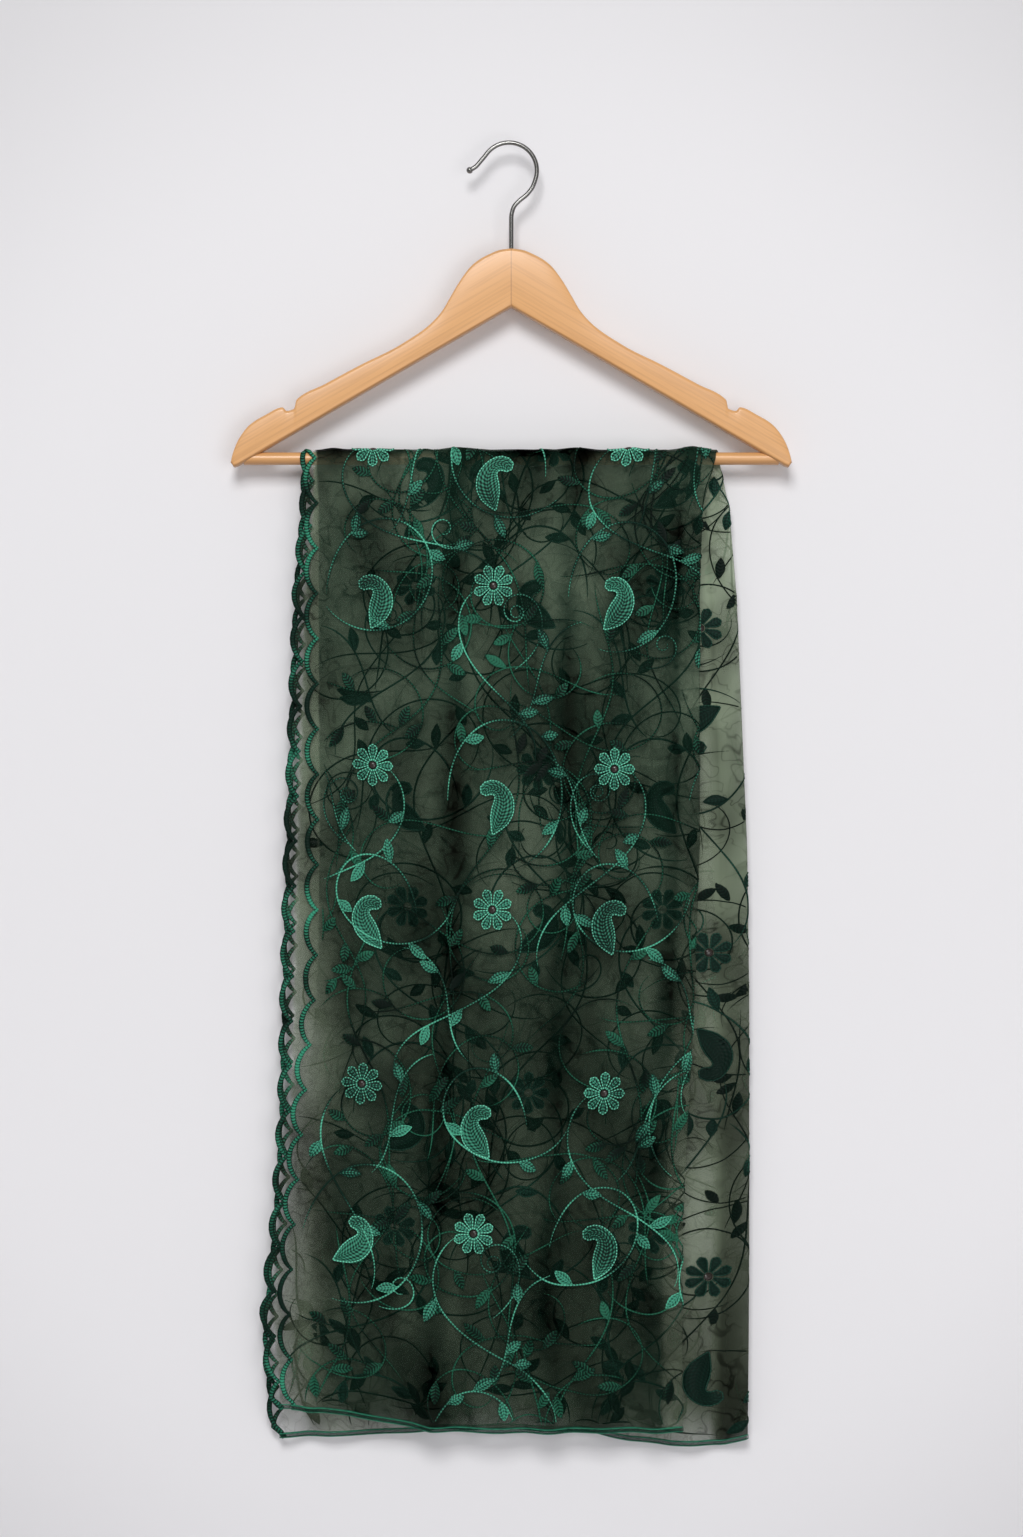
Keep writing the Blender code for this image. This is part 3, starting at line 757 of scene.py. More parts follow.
def stroke_paths(stroke, motifs, rng):
    """One row of the stroke table, drawn for every motif, or each second or third, it starts at."""
    anchors = [m for m in motifs if m.name == stroke.anchor][::stroke.every]
    side = np.array([m.side for m in anchors])
    offset = np.stack((side * stroke.across_mm, np.full(len(side), stroke.along_mm)), axis=1) * MM
    heading = math.radians(stroke.heading) + rng.uniform(-HEADING_CHANGE, HEADING_CHANGE,
                                                         len(side))
    heading = np.where(side > 0.0, heading, math.pi - heading)
    change = 1.0 + rng.uniform(-BEND_CHANGE, BEND_CHANGE, (len(side), 4))
    bends = np.array(stroke.bends) * side[:, None] * change
    lengths = stroke.length_mm * MM * rng.uniform(1.0 - LENGTH_CHANGE, 1.0 + LENGTH_CHANGE,
                                                  len(side))
    steps = int(stroke.length_mm * MM / STEP) + 1
    starts = centres(anchors) + offset
    return kept_on_cloth(*turned_paths(starts, heading, lengths, bends, steps))


def leaf_paths(paths, headings, count, size, rng):
    """Short bent leaves set alternately to both sides of each stroke."""
    steps = paths.shape[1]
    at = ((np.arange(count) + 0.7) / (count + 0.4) * (steps - 1)).astype(int)
    lean = np.where(np.arange(count) % 2, 1.0, -1.0) * LEAF_LEAN
    starts = paths[:, at].reshape(-1, 2)
    turn = rng.uniform(-LEAF_TURN, LEAF_TURN, (len(paths), count))
    heading = (headings[:, at] + lean + turn).ravel()
    lengths = rng.uniform(*LEAF_SIZES, len(heading)) * size
    bends = np.stack([rng.uniform(-LEAF_BEND, LEAF_BEND, len(heading))] * 4, axis=1)
    leaves = turned_paths(starts, heading, lengths, bends, LEAF_STEPS)[0]
    return leaves[on_cloth(leaves).all(axis=1)]


def widths_along(table, t):
    """Half width at parts of the way along a leaf, petal or paisley, in metres."""
    return np.interp(t, column(table, "part"), column(table, "half_mm"))


def filled_shapes(paths, table, height):
    """Domed shapes of stitches along paths, as wide as the table says."""
    t = np.linspace(0.0, 1.0, paths.shape[1])
    half = np.broadcast_to(widths_along(table, t), paths.shape[:2])
    rise = np.broadcast_to(height * np.sin(np.pi * np.clip(t, 0.02, 0.98)) ** 0.5, half.shape)
    return carried(paths, half, rise, DOME_PROFILE, THREAD_BASE)


def outline_cords(paths, table, half_width, height):
    """A cord out along one side of each shape, round its tip and back along the other."""
    t = np.linspace(0.0, 1.0, paths.shape[1])
    offset = flat_normals(paths) * (widths_along(table, t) - half_width * 0.5)[None, :, None]
    loops = np.concatenate((paths + offset, (paths - offset)[:, ::-1]), axis=1)
    sizes = np.full(loops.shape[:2], 1.0)
    return carried(loops, half_width * sizes, height * sizes, CORD_PROFILE, THREAD_BASE)


def cords(paths, width, height):
    """Corded stitches along paths, thinner towards both ends."""
    t = np.linspace(0.0, 1.0, paths.shape[1])
    taper = ease(t / CORD_TAPER[0]) * ease((1.0 - t) / CORD_TAPER[1])
    share = CORD_END + (1.0 - CORD_END) * taper
    half = np.broadcast_to(width / 2 * share, paths.shape[:2])
    rise = np.broadcast_to(height * share, paths.shape[:2])
    return carried(paths, half, rise, CORD_PROFILE, THREAD_BASE)


def petal_paths(motifs):
    """Straight spines of eight petals round every flower's centre, all the same length."""
    turn = np.array([m.turn for m in motifs])
    angle = turn[:, None] + np.arange(PETALS) * 2.0 * math.pi / PETALS
    way = np.stack((np.cos(angle), np.sin(angle)), axis=-1)[:, :, None, :]
    reach = PETAL_START + np.linspace(0.0, PETAL_LENGTH, PETAL_STEPS)
    spines = centres(motifs)[:, None, None, :] + way * reach[:, None]
    return spines.reshape(-1, PETAL_STEPS, 2)


def disc_paths(motifs, radius):
    """Short spines across every flower's centre, for a round bead."""
    reach = radius * np.cos(np.linspace(math.pi, 0.0, BEAD_STEPS))
    return centres(motifs)[:, None, :] + np.stack((reach, 0.0 * reach), axis=-1)


def paisley_paths(motifs):
    """Curved spines of the paisleys, each centred on its place and mirrored by its side."""
    side = np.array([m.side for m in motifs])
    heading = np.where(side > 0.0, PAISLEY_HEADING, math.pi - PAISLEY_HEADING)
    heading = heading + np.array([m.turn for m in motifs])
    start = centres(motifs)
    lengths = np.full(len(side), PAISLEY_LENGTH)
    bends = np.array(PAISLEY_BENDS) * side[:, None]
    paths = turned_paths(start, heading, lengths, bends, PAISLEY_STEPS)[0]
    middle = (paths.max(axis=1) + paths.min(axis=1)) / 2
    return paths + (start - middle)[:, None, :]


# Scalloped edges and hems

def scallop_count(along, phase):
    """Scallops counted from the bar: negative down the front, positive down the back."""
    down_front = np.maximum(1.0 - along / FRONT_LENGTH, 0.0) * SCALLOPS
    down_back = np.maximum((along - FRONT_LENGTH - TURN_LENGTH) / BACK_LENGTH, 0.0) * SCALLOPS
    over = np.clip((along - FRONT_LENGTH) / TURN_LENGTH, 0.0, 1.0) / 2
    return down_back + over - down_front - phase


def scallop_reach(along, phase):
    """Distance of the satin's middle from the seam: a floor plus a rounded arch for each count.

    The last arch closes towards the hem.
    """
    arch = np.abs(np.sin(np.pi * scallop_count(along, phase))) ** SCALLOP_ROUNDNESS
    closing = ease((np.minimum(along, NET_LENGTH - along) + HEM_HEIGHT) / SCALLOP_CLOSING)
    return SCALLOP_START + SCALLOP_RISE * arch * closing


def scallop_arcs(phase, outer):
    """Satin arcs of one layer's edge, one strip to each scallop, split into front and back."""
    low, high = -HEM_HEIGHT - GAP, NET_LENGTH + HEM_HEIGHT + GAP
    fine = np.linspace(low, high, COUNT_STATIONS)
    counts = scallop_count(fine, phase)
    starts = np.arange(math.floor(counts[0]), math.ceil(counts[-1]))
    steps = (1.0 - np.cos(np.linspace(0.0, math.pi, ARC_STEPS))) / 2
    count = np.clip(starts[:, None] + steps, counts[0], counts[-1])
    along = np.interp(count, counts, fine)
    reach = scallop_reach(along, phase)
    across = -reach if outer else 2.0 * HALF_WIDTH + reach
    paths = np.stack((across, along), axis=-1)
    paths = paths[np.ptp(along, axis=1) > SHORTEST_ARC]
    in_front = paths[:, ARC_STEPS // 2, 1] < FRONT_LENGTH + TURN_LENGTH / 2
    return paths[in_front], paths[~in_front]


def satin_arcs(paths):
    """Satin bands along scallop arcs, narrower at the cusps."""
    t = np.linspace(0.0, 1.0, paths.shape[1])
    half = SATIN_HALF_WIDTH * (SATIN_CUSP + (1.0 - SATIN_CUSP) * np.sin(np.pi * t) ** 0.7)
    half = np.broadcast_to(half, paths.shape[:2])
    return carried(paths, half, np.full(half.shape, SATIN_HEIGHT), BAND_PROFILE)


def across_stations():
    """Across values of the net: even over both layers and close together round the fold."""
    layer = np.linspace(0.0, 1.0 - FOLD_SHARE, LAYER_STATIONS)
    fold = np.linspace(1.0 - FOLD_SHARE, 1.0 + FOLD_SHARE, FOLD_STATIONS)[1:-1]
    return np.concatenate((layer, fold, 2.0 - layer[::-1]))


def hem_band(along):
    """Turned hem across both layers and round the fold, as high as the table's hem."""
    across = np.concatenate(([-HEM_REACH], across_stations() * HALF_WIDTH,
                             [2.0 * HALF_WIDTH + HEM_REACH]))
    path = np.stack((across, np.full(len(across), along)), axis=-1)[None]
    sizes = np.ones(path.shape[:2])
    return carried(path, HEM_HEIGHT / 2 * sizes, HEM_THICKNESS * sizes, BAND_PROFILE)


def closeness(across, along):
    """How closely the net hangs: below 0 where it is slack or open, above 0 where it gathers.

    Ripples' bunching, faded out towards the long edges, plus a bell along the fold's pressed line
    and one over the bar, minus one at the back hem, and open between the scallops.
    """
    place = np.clip(1.0 - np.abs(1.0 - across), 0.0, 1.0)
    blend = ease((along - FRONT_LENGTH) / TURN_LENGTH)
    close = (1.0 - blend) * bunching(FRONT, place) + blend * bunching(BACK, place)
    from_bar = np.abs(along - FRONT_LENGTH - TURN_LENGTH / 2)
    margin = 1.0 - ease(np.minimum(place, 1.0 - place) / SLACK_WIDTH - 0.3)
    slack = SLACK_EDGE * margin * ease(from_bar / FRONT_LENGTH * 2.0 - 0.6)
    close = close * (1.0 - margin) - slack
    close += FOLD_LINE * np.exp(-((1.0 - place - FOLD_LINE_PLACE) / FOLD_LINE_WIDTH) ** 2)
    close += BAR_GATHER * np.exp(-(from_bar / BAR_GATHER_WIDTH) ** 2)
    close -= HEM_OPENNESS * np.exp(-((NET_LENGTH - along) / HEM_OPEN_WIDTH) ** 2)
    return np.where((across < 0.0) | (across > 2.0), -EDGING_OPENNESS, close)


def net_grid():
    """The whole net as one grid, seam to seam and hem to hem, with its scalloped edging.

    Columns beyond each seam follow the scallops' width; the pattern is the flat place and how
    closely the net hangs there.
    """
    rows = SCALLOPS * SCALLOP_STATIONS + 1
    front = np.linspace(-NET_TUCK, FRONT_LENGTH, rows)
    turn = np.linspace(FRONT_LENGTH, FRONT_LENGTH + TURN_LENGTH, TURN_STATIONS)[1:-1]
    back = np.linspace(FRONT_LENGTH + TURN_LENGTH, NET_LENGTH + NET_TUCK, rows)
    along = np.concatenate((front, turn, back))[:, None]
    inner = np.broadcast_to(across_stations(), (len(along), len(across_stations())))
    edges = []
    for phase in (0.0, 0.5):
        reach = scallop_reach(along, phase) / HALF_WIDTH
        edges.append(reach * np.linspace(1.0, 0.0, EDGING_STATIONS)[:-1])
    across = np.concatenate((-edges[0], inner, 2.0 + edges[1][:, ::-1]), axis=1)
    along = np.broadcast_to(along, across.shape)
    grid = drape(across, along, np.zeros(across.shape))
    pattern = np.stack((across * HALF_WIDTH, along, closeness(across, along)), axis=-1)
    return grid[None], pattern[None]


# Hanger

def lower_edge(x):
    """Height of an arm's lower edge at distances from the glued seam."""
    return np.interp(x, column(ARM_BOTTOM, "across_mm"), column(ARM_BOTTOM, "height_mm"))


def arm_rings(side):
    """Rounded oblong sections down one arm, between its two edges, with a pole at each end.

    The corners are quarter circles, as large as the rounding or half the section's height.
    """
    tip = ARM_TOP[-1].across_mm * MM
    before = np.linspace(0.0, NOTCH_START, ARM_STATIONS[0])[:-1]
    notch = np.linspace(NOTCH_START, NOTCH_END, ARM_STATIONS[1])
    closer = np.sin(np.linspace(0.0, math.pi / 2, ARM_STATIONS[2]))[1:]
    after = NOTCH_END + (tip - NOTCH_END) * closer
    x = np.concatenate((before, notch, after))
    top, bottom = fair_curve(ARM_TOP, x), lower_edge(x)
    half = np.maximum((top - bottom) / 2, 0.0)
    rounding = np.minimum(ARM_ROUNDING, half)
    corner = np.linspace(0.0, math.pi / 2, CORNER_POINTS)
    turns = (corner[None, :] + np.arange(4)[:, None] * math.pi / 2).ravel()
    out = np.repeat((1.0, -1.0, -1.0, 1.0), CORNER_POINTS)
    up = np.repeat((1.0, 1.0, -1.0, -1.0), CORNER_POINTS)
    y = out * (ARM_HALF_THICKNESS - rounding[:, None]) + rounding[:, None] * np.cos(turns)
    z = up * (half - rounding)[:, None] + rounding[:, None] * np.sin(turns)
    z = z + ((top + bottom) / 2)[:, None]
    ring = np.stack((np.broadcast_to(x[:, None], y.shape), -y, z), axis=-1)
    first = np.broadcast_to(ring[:1].mean(axis=1, keepdims=True), ring[:1].shape)
    last = np.broadcast_to(ring[-1:].mean(axis=1, keepdims=True), ring[-1:].shape)
    rings = np.concatenate((first, ring, last))
    if side < 0.0:
        rings = rings[:, ::-1] * np.array((-1.0, 1.0, 1.0))
    return rings[None] + np.array((HANGER_CENTRE_X, 0.0, 0.0))


def tube_rings(path, radii, sides):
    """Rings square to a path in the XZ plane, with a pole at each end."""
    along = np.gradient(path, axis=0)
    along /= np.linalg.norm(along, axis=1, keepdims=True)
    across = np.stack((-along[:, 2], np.zeros(len(path)), along[:, 0]), axis=1)
    turns = np.arange(sides) * 2.0 * math.pi / sides
    ring = (np.cos(turns)[:, None] * across[:, None, :]
            + np.sin(turns)[:, None] * np.array((0.0, 1.0, 0.0)))
    rings = path[:, None, :] + np.asarray(radii)[:, None, None] * ring
    ends = [np.broadcast_to(path[i], rings[:1].shape) for i in (0, -1)]
    return np.concatenate((ends[0], rings, ends[1]))[None]


def hook_line():
    """Centre line and radii of the wire: stem, neck, round bend, lip and ball end."""
    angles = np.linspace(HOOK_START_ANGLE, HOOK_END_ANGLE, BEND_POINTS)
    arc = HOOK_RADIUS * np.stack((np.cos(angles), np.sin(angles)), axis=1)
    arc[:, 1] += WIRE_RADIUS - HOOK_RADIUS
    neck, lip = (np.stack((column(table, "across_mm"), column(table, "height_mm")), axis=1)
                 for table in (HOOK_NECK, HOOK_LIP))
    line = np.concatenate((neck, arc, lip))
    length = np.concatenate(([0.0], np.cumsum(np.linalg.norm(np.diff(line, axis=0), axis=1))))
    even = np.linspace(0.0, length[-1], HOOK_STATIONS)
    line = np.stack([np.interp(even, length, line[:, i]) for i in (0, 1)], axis=1)
    for _ in range(HOOK_SMOOTHINGS):
        line[1:-1] = (line[:-2] + 2.0 * line[1:-1] + line[2:]) / 4
    towards = (line[-1] - line[-2]) / np.linalg.norm(line[-1] - line[-2])
    angles = np.linspace(-math.pi / 4, math.pi / 2 - 0.1, BALL_RINGS)
    ball = line[-1] + HOOK_TIP_RADIUS * np.sin(angles)[:, None] * towards
    path = np.concatenate((line[:-1], ball))
    radii = np.append(np.full(len(line) - 1, WIRE_RADIUS), HOOK_TIP_RADIUS * np.cos(angles))
    return np.stack((path[:, 0], np.zeros(len(path)), path[:, 1]), axis=1), radii


def above_edge(rings, lower):
    """Pattern of a wooden piece: its points' height above a lower edge as the third value."""
    pattern = np.zeros(rings.shape)
    pattern[..., 2] = rings[..., 2] - lower
    return pattern


def closed_up(piece, angle):
    """Pole points merged and edges sharper than an angle kept sharp."""
    bm = bmesh.new()
    bm.from_mesh(piece.data)
    bmesh.ops.remove_doubles(bm, verts=bm.verts, dist=MERGE_DISTANCE)
    bmesh.ops.recalc_face_normals(bm, faces=bm.faces)
    bm.to_mesh(piece.data)
    bm.free()
    piece.data.set_sharp_from_angle(angle=angle)
    return piece


# Shaders

class Wire:
    """A shader socket that adds, subtracts and multiplies like a number."""

    def __init__(self, shader, socket):
        self.shader = shader
        self.socket = socket

    def math(self, operation, *terms):
        """One math node on these terms, which are sockets or numbers."""
        return self.shader.node("ShaderNodeMath", {"operation": operation},
                                dict(enumerate(terms)))

    def __add__(self, other):
        return self.math("ADD", self, other)

    __radd__ = __add__

    def __sub__(self, other):
        return self.math("SUBTRACT", self, other)

    def __rsub__(self, other):
        return self.math("SUBTRACT", other, self)

    def __mul__(self, other):
        return self.math("MULTIPLY", self, other)

    def __pow__(self, other):
        return self.math("POWER", self, other)

    def __abs__(self):
        return self.math("ABSOLUTE", self)

    def wave(self):
        """Sine brought into 0 to 1."""
        return self.math("SINE", self) * 0.5 + 0.5

    def fitted(self, low, high, first=0.0, last=1.0):
        """Smooth step from the first value at low to the last value at high."""
        return self.shader.node("ShaderNodeMapRange", {"interpolation_type": "SMOOTHSTEP"},
                                {"Value": self, "From Min": low, "From Max": high,
                                 "To Min": first, "To Max": last})

    def blend(self, first, second):
        """Colours mixed by this value: the first at 0 and the second at 1."""
        return self.shader.node("ShaderNodeMix", {"data_type": "RGBA"},
                                {0: self, 6: first, 7: second}, 2)


class Shader:
    """A material's nodes, added one call at a time."""

    def __init__(self, name):
        self.material = bpy.data.materials.new(name)
        self.material.use_nodes = True
        self.tree = self.material.node_tree
        self.tree.nodes.clear()

    def node(self, kind, settings, values, output=0):
        """Adds a node: its settings first, then its sockets' values or links."""
        node = self.tree.nodes.new(kind)
        for name, value in settings.items():
            setattr(node, name, value)
        for key, value in values.items():
            if isinstance(value, Wire):
                self.tree.links.new(value.socket, node.inputs[key])
            else:
                node.inputs[key].default_value = value
        return Wire(self, node.outputs[output])

    def place(self):
        """Object coordinates, split into three values."""
        coords = self.node("ShaderNodeTexCoord", {}, {}, "Object")
        return [self.node("ShaderNodeSeparateXYZ", {}, {0: coords}, i) for i in range(3)]

    def pattern(self):
        """The piece's own pattern attribute, split into three values."""
        values = self.node("ShaderNodeAttribute", {"attribute_name": "pattern"}, {}, "Vector")
        return [self.node("ShaderNodeSeparateXYZ", {}, {0: values}, i) for i in range(3)]

    def joined(self, x, y, z):
        """Three values as one vector."""
        return self.node("ShaderNodeCombineXYZ", {}, {0: x, 1: y, 2: z})

    def noise(self, vector, scale, detail=2.0, twist=0.0):
        """Noise from about 0.2 to 0.8, twisted where asked."""
        return self.node("ShaderNodeTexNoise", {}, {"Vector": vector, "Scale": scale,
                                                    "Detail": detail, "Distortion": twist})

    def bump(self, height, distance, strength):
        """Normals tilted by a height."""
        return self.node("ShaderNodeBump", {}, {"Height": height, "Distance": distance,
                                                "Strength": strength})

    def surface(self, values):
        """A Principled surface as the material's output."""
        shader = self.node("ShaderNodeBsdfPrincipled", {}, values)
        self.node_out(shader)
        return self.material

    def node_out(self, shader):
        """Links a finished shader to the material's output."""
        out = self.tree.nodes.new("ShaderNodeOutputMaterial")
        self.tree.links.new(shader.socket, out.inputs["Surface"])


def opaque(colour, share=1.0):
    """A colour property as four values, its brightness multiplied."""
    return tuple(c * share for c in colour) + (1.0,)


def thread_material(kind, colour):
    """Stitches as one row of the table says: slanted lines across the strip and rows along it.

    Broad patches of painted shine run over them, a darker rim is painted shade along the sides,
    and the stitches of deeper layers are darkened as painted shade.
    """
    shader = Shader(f"{kind}_thread")
    row = STITCHES[kind]
    length, side, depth = shader.pattern()
    slanted = length - abs(side) * (row.slant_mm * MM)
    stitch = (slanted * (2.0 * math.pi / (row.pitch_mm * MM))).wave()
    if row.rows:
        stitch = stitch * 0.9 + (abs(side) * (2.0 * math.pi * row.rows)).wave() * 0.9 - 0.4
    flecks = shader.noise(shader.joined(length * FLECK_SCALE, side * 2.5, 0.0), 1.0)
    # Painted shine: broad patches of brighter and darker thread over the piece's place
    patches = shader.noise(shader.joined(*shader.place()), PAINTED_SHINE_SCALE)
    # A darker rim is painted shade along the sides; a brighter rim is a paler outline
    edge = abs(side).fitted(*RIM_ZONE, 0.0, row.rim)
    middle = abs(side).fitted(*GROOVE_ZONE, row.groove, 0.0)
    shine = (stitch * STITCH_SHARE + flecks * FLECK_SHARE + edge - middle
             + (patches - 0.5) * row.patches + row.level)
    # Painted shade: the stitches of deeper layers are darkened, for the shade of the layers in
    # front
    shine = shine * (1.0 - depth * row.fading) - depth * row.fading * 0.12
    dark, light = opaque(colour, THREAD_DARKEST), opaque(colour, THREAD_BRIGHTEST)
    mixed = shine.fitted(*SHINE_RANGE).blend(dark, light)
    normal = shader.bump(stitch, THREAD_BUMP, 0.8)
    return shader.surface({"Base Color": mixed, "Roughness": 0.5, "Normal": normal,
                           "Specular IOR Level": THREAD_SPECULAR})


def net_material(name, front, behind, cell, cover):
    """Fine net: holes between the cell walls, closer where the cloth bunches or creases.

    The crumpling is two noises: broad upright patches, and soft swirls where a twisted noise
    passes its middle value; with the gathers they change the cover, and the colour as painted
    light in open patches and painted shade in dense ones, swirls and gathers. The layers behind
    the front one and the slack edges are painted paler, a painted light for light showing
    through from behind. The net darkens from the bar to both hems, most where the back fall
    rolls over at its fold, there as painted shade.
    """
    shader = Shader(name)
    across, along, close = shader.pattern()
    flat = shader.joined(across, along, 0.0)
    edge = shader.node("ShaderNodeTexVoronoi", {"feature": "DISTANCE_TO_EDGE"},
                       {"Vector": flat, "Scale": 1.0 / cell, "Randomness": CELL_RANDOMNESS},
                       "Distance")
    wall = edge.fitted(*CELL_WALL, 1.0, 0.0)
    broad = shader.noise(shader.joined(across, along * PATCH_STRETCH, 0.0), PATCH_SCALE, 3.0)
    twisted = shader.noise(flat, SWIRL_SCALE, 1.0, SWIRL_TWIST)
    swirls = abs(twisted - 0.5).fitted(0.0, SWIRL_WIDTH, 1.0, 0.0)
    drop = abs(along - FRONT_LENGTH).fitted(0.0, FRONT_LENGTH)
    back = along.fitted(FRONT_LENGTH, FRONT_LENGTH + TURN_LENGTH)
    depth = (across.fitted(HALF_WIDTH - FOLD_BLUR, HALF_WIDTH + FOLD_BLUR, 0.0, INNER_DEPTH)
             + back).fitted(0.0, 1.0)
    roll_and_painted_shade = abs(across - HALF_WIDTH).fitted(*ROLL_REACH, 1.0, 0.0) * back * drop
    alpha = (cover + depth * COVER.behind + roll_and_painted_shade * COVER.rolled + wall * COVER.walls
             + close * COVER.close + (broad - 0.5) * (COVER.patches - depth * COVER.fading)
             + swirls * COVER.swirls)
    # Painted light and shade: lighter where the net is open, darker in dense patches, swirls,
    # gathers and the roll, and darker towards the hems
    painted_light_and_shade = ((broad - 0.5).fitted(*PATCH_RANGE, TONE.open, TONE.dense) - swirls * TONE.swirls
             - close.fitted(0.0, 1.1, 0.0, TONE.gathered))
    painted_light_and_shade = painted_light_and_shade * drop.fitted(0.0, 0.8, TONE.at_bar, TONE.at_hem) * (1.0 - roll_and_painted_shade * TONE.rolled)
    # Painted light: the layers behind and the slack edges take the paler colour
    painted_light_share = (depth + close.fitted(-1.0, 0.0, TONE.slack, 0.0)).fitted(0.0, 1.0)
    mixed = painted_light_share.blend(opaque(front), opaque(behind))
    shaded = shader.node("ShaderNodeVectorMath", {"operation": "SCALE"}, {0: mixed, 3: painted_light_and_shade})
    return shader.surface({"Base Color": shaded, "Alpha": alpha.fitted(-0.1, 1.1, 0.02, 0.98),
                           "Roughness": 0.65, "Specular IOR Level": 0.0})


def hem_material(name, colour):
    """Turned edge of the net: dark between two brighter lines of stitches."""
    shader = Shader(name)
    length, side, _ = shader.pattern()
    lines = abs(side).fitted(0.5, 0.85)
    flecks = shader.noise(shader.joined(length * 260.0, side, 0.0), 1.0)
    mixed = (lines * flecks).fitted(0.1, 0.6).blend(opaque(colour, 0.3), opaque(colour, 2.2))
    alpha = lines.fitted(0.0, 1.0, 0.35, 0.95)
    return shader.surface({"Base Color": mixed, "Alpha": alpha, "Roughness": 0.55,
                           "Specular IOR Level": THREAD_SPECULAR})


def wood_material(name, light, dark, slope, shade):
    """Pale wood: short fine grain along the arm's slope, mirrored at the dark glued seam.

    The wood darkens over the shade's height above its lower edge, as painted shade.
    """
    shader = Shader(name)
    x, y, z = shader.place()
    above = shader.pattern()[2]
    out = abs(x - HANGER_CENTRE_X)
    along = out * math.cos(slope) + z * math.sin(slope)
    across = z * math.cos(slope) - out * math.sin(slope)
    ways = (along, y, across)
    broad = shader.noise(shader.joined(*(w * s for w, s in zip(ways, BROAD_GRAIN))), 1.0)
    fine = shader.noise(shader.joined(*(w * s for w, s in zip(ways, FINE_GRAIN))), 1.0, 3.0)
    # The grain's sum also holds the painted shade above the lower edge
    grain = (broad * BROAD_SHARE + fine.fitted(0.36, 0.68) * FINE_SHARE
             + above.fitted(0.3 * MM, shade, EDGE_PAINTED_SHADE, 0.0))
    if slope:
        grain = grain + out.fitted(*SEAM_ZONE, SEAM_SHADE, 0.0)
    mixed = grain.fitted(0.15, 1.1).blend(opaque(light), opaque(dark))
    normal = shader.bump(fine, GRAIN_BUMP, 0.25)
    return shader.surface({"Base Color": mixed, "Roughness": 0.34, "Normal": normal,
                           "Coat Weight": 0.18, "Coat Roughness": 0.18})


def plain_material(name, colour, roughness, metallic=0.0):
    """One even colour."""
    return Shader(name).surface({"Base Color": opaque(colour), "Roughness": roughness,
                                 "Metallic": metallic})


def one_sided_material(name, colour):
    """A matt wall, a little darker away from the middle, that can't be seen from behind."""
    shader = Shader(name)
    behind = shader.node("ShaderNodeNewGeometry", {}, {}, "Backfacing")
    x, _, z = shader.place()
    up = z - WALL_MIDDLE_Z
    away = (x * x + up * up * 0.8) ** 0.5
    # Painted shade: the wall darkens away from the middle, as the light falls off
    painted_falloff = away.fitted(*WALL_DARKENING).blend(opaque(colour), opaque(colour, WALL_FAR_SHARE))
    matt = shader.node("ShaderNodeBsdfDiffuse", {}, {"Color": painted_falloff})
    clear = shader.node("ShaderNodeBsdfTransparent", {}, {})
    shader.node_out(shader.node("ShaderNodeMixShader", {}, {0: behind, 1: matt, 2: clear}))
    return shader.material


# Properties

def colour_property(label, description, value):
    """A colour setting with its starting value."""
    return FloatVectorProperty(name=label, description=description, default=value, size=3,
                               min=0.0, max=1.0, subtype="COLOR")


class StoleHangerSettings(PropertyGroup):
    """Finish of the hanger."""
    wood_light: colour_property("Wood", "Paler colour of the wood", (0.755, 0.398, 0.156))
    # The darker wood colour also gives the painted shade along the lower edges
    wood_dark: colour_property("Wood grain", "Darker colour of the grain", (0.52, 0.26, 0.10))
    steel: colour_property("Steel", "Colour of the hook's steel", (0.20, 0.197, 0.190))


class StoleClothSettings(PropertyGroup):
    """Net and thread of the stole."""
    net: colour_property("Net", "Colour of the front layer's net", (0.007, 0.022, 0.014))
    # The paler colour of the layers behind is a painted light, for light showing through from
    # behind
    net_behind_painted_light: colour_property("Net behind", "Colour of the net of the layers behind",
                                (0.202, 0.248, 0.171))
    satin: colour_property("Border", "Colour of the scallops' satin thread",
                           (0.017, 0.118, 0.071))
    vine: colour_property("Vines", "Colour of the bright vines' thread", (0.046, 0.208, 0.138))
    # Dark vines are painted shade: the vine thread darkened for vines seen in shade
    dark_vine: colour_property("Dark vines", "Colour of the dark vines' thread",
                               (0.008, 0.052, 0.030))
    leaf: colour_property("Leaves", "Colour of the leaves' thread", (0.024, 0.124, 0.081))
    flower: colour_property("Flowers", "Colour of the flowers' thread", (0.028, 0.137, 0.091))
    paisley: colour_property("Paisleys", "Colour of the paisleys' thread",
                             (0.021, 0.108, 0.070))
    # The outline colour is partly a paler thread, partly a painted highlight on the raised cords
    outline: colour_property("Outlines", "Colour of the outlining cord", (0.078, 0.295, 0.205))
    bead: colour_property("Beads", "Colour of the flowers' centres", (0.024, 0.017, 0.014))
    cell: FloatProperty(name="Net cell", description="Width of one hole of the net",
                        default=1.67 * MM, min=0.5 * MM, max=6.0 * MM, unit="LENGTH")
    cover: FloatProperty(name="Cover", description="Share of the net's area that is thread",
                         default=0.42, min=0.1, max=1.0, subtype="FACTOR")


class StoleStageSettings(PropertyGroup):
    """Plain studio."""
    wall: colour_property("Wall", "Colour of the wall", (0.84, 0.83, 0.85))
    wall_gap: FloatProperty(name="Wall gap", description="Distance from the hanger to the wall",
                            default=21.5 * MM, min=20.0 * MM, max=200.0 * MM, unit="LENGTH")
    key_power: FloatProperty(name="Key light", description="Power of the upper lamp",
                             default=124.0, min=0.0, max=900.0, unit="POWER")
    fill_power: FloatProperty(name="Fill light", description="Power of the low right lamp",
                              default=31.0, min=0.0, max=900.0, unit="POWER")
    sky: FloatProperty(name="Room light", description="Strength of the even light",
                       default=0.26, min=0.0, max=5.0)


# Operators

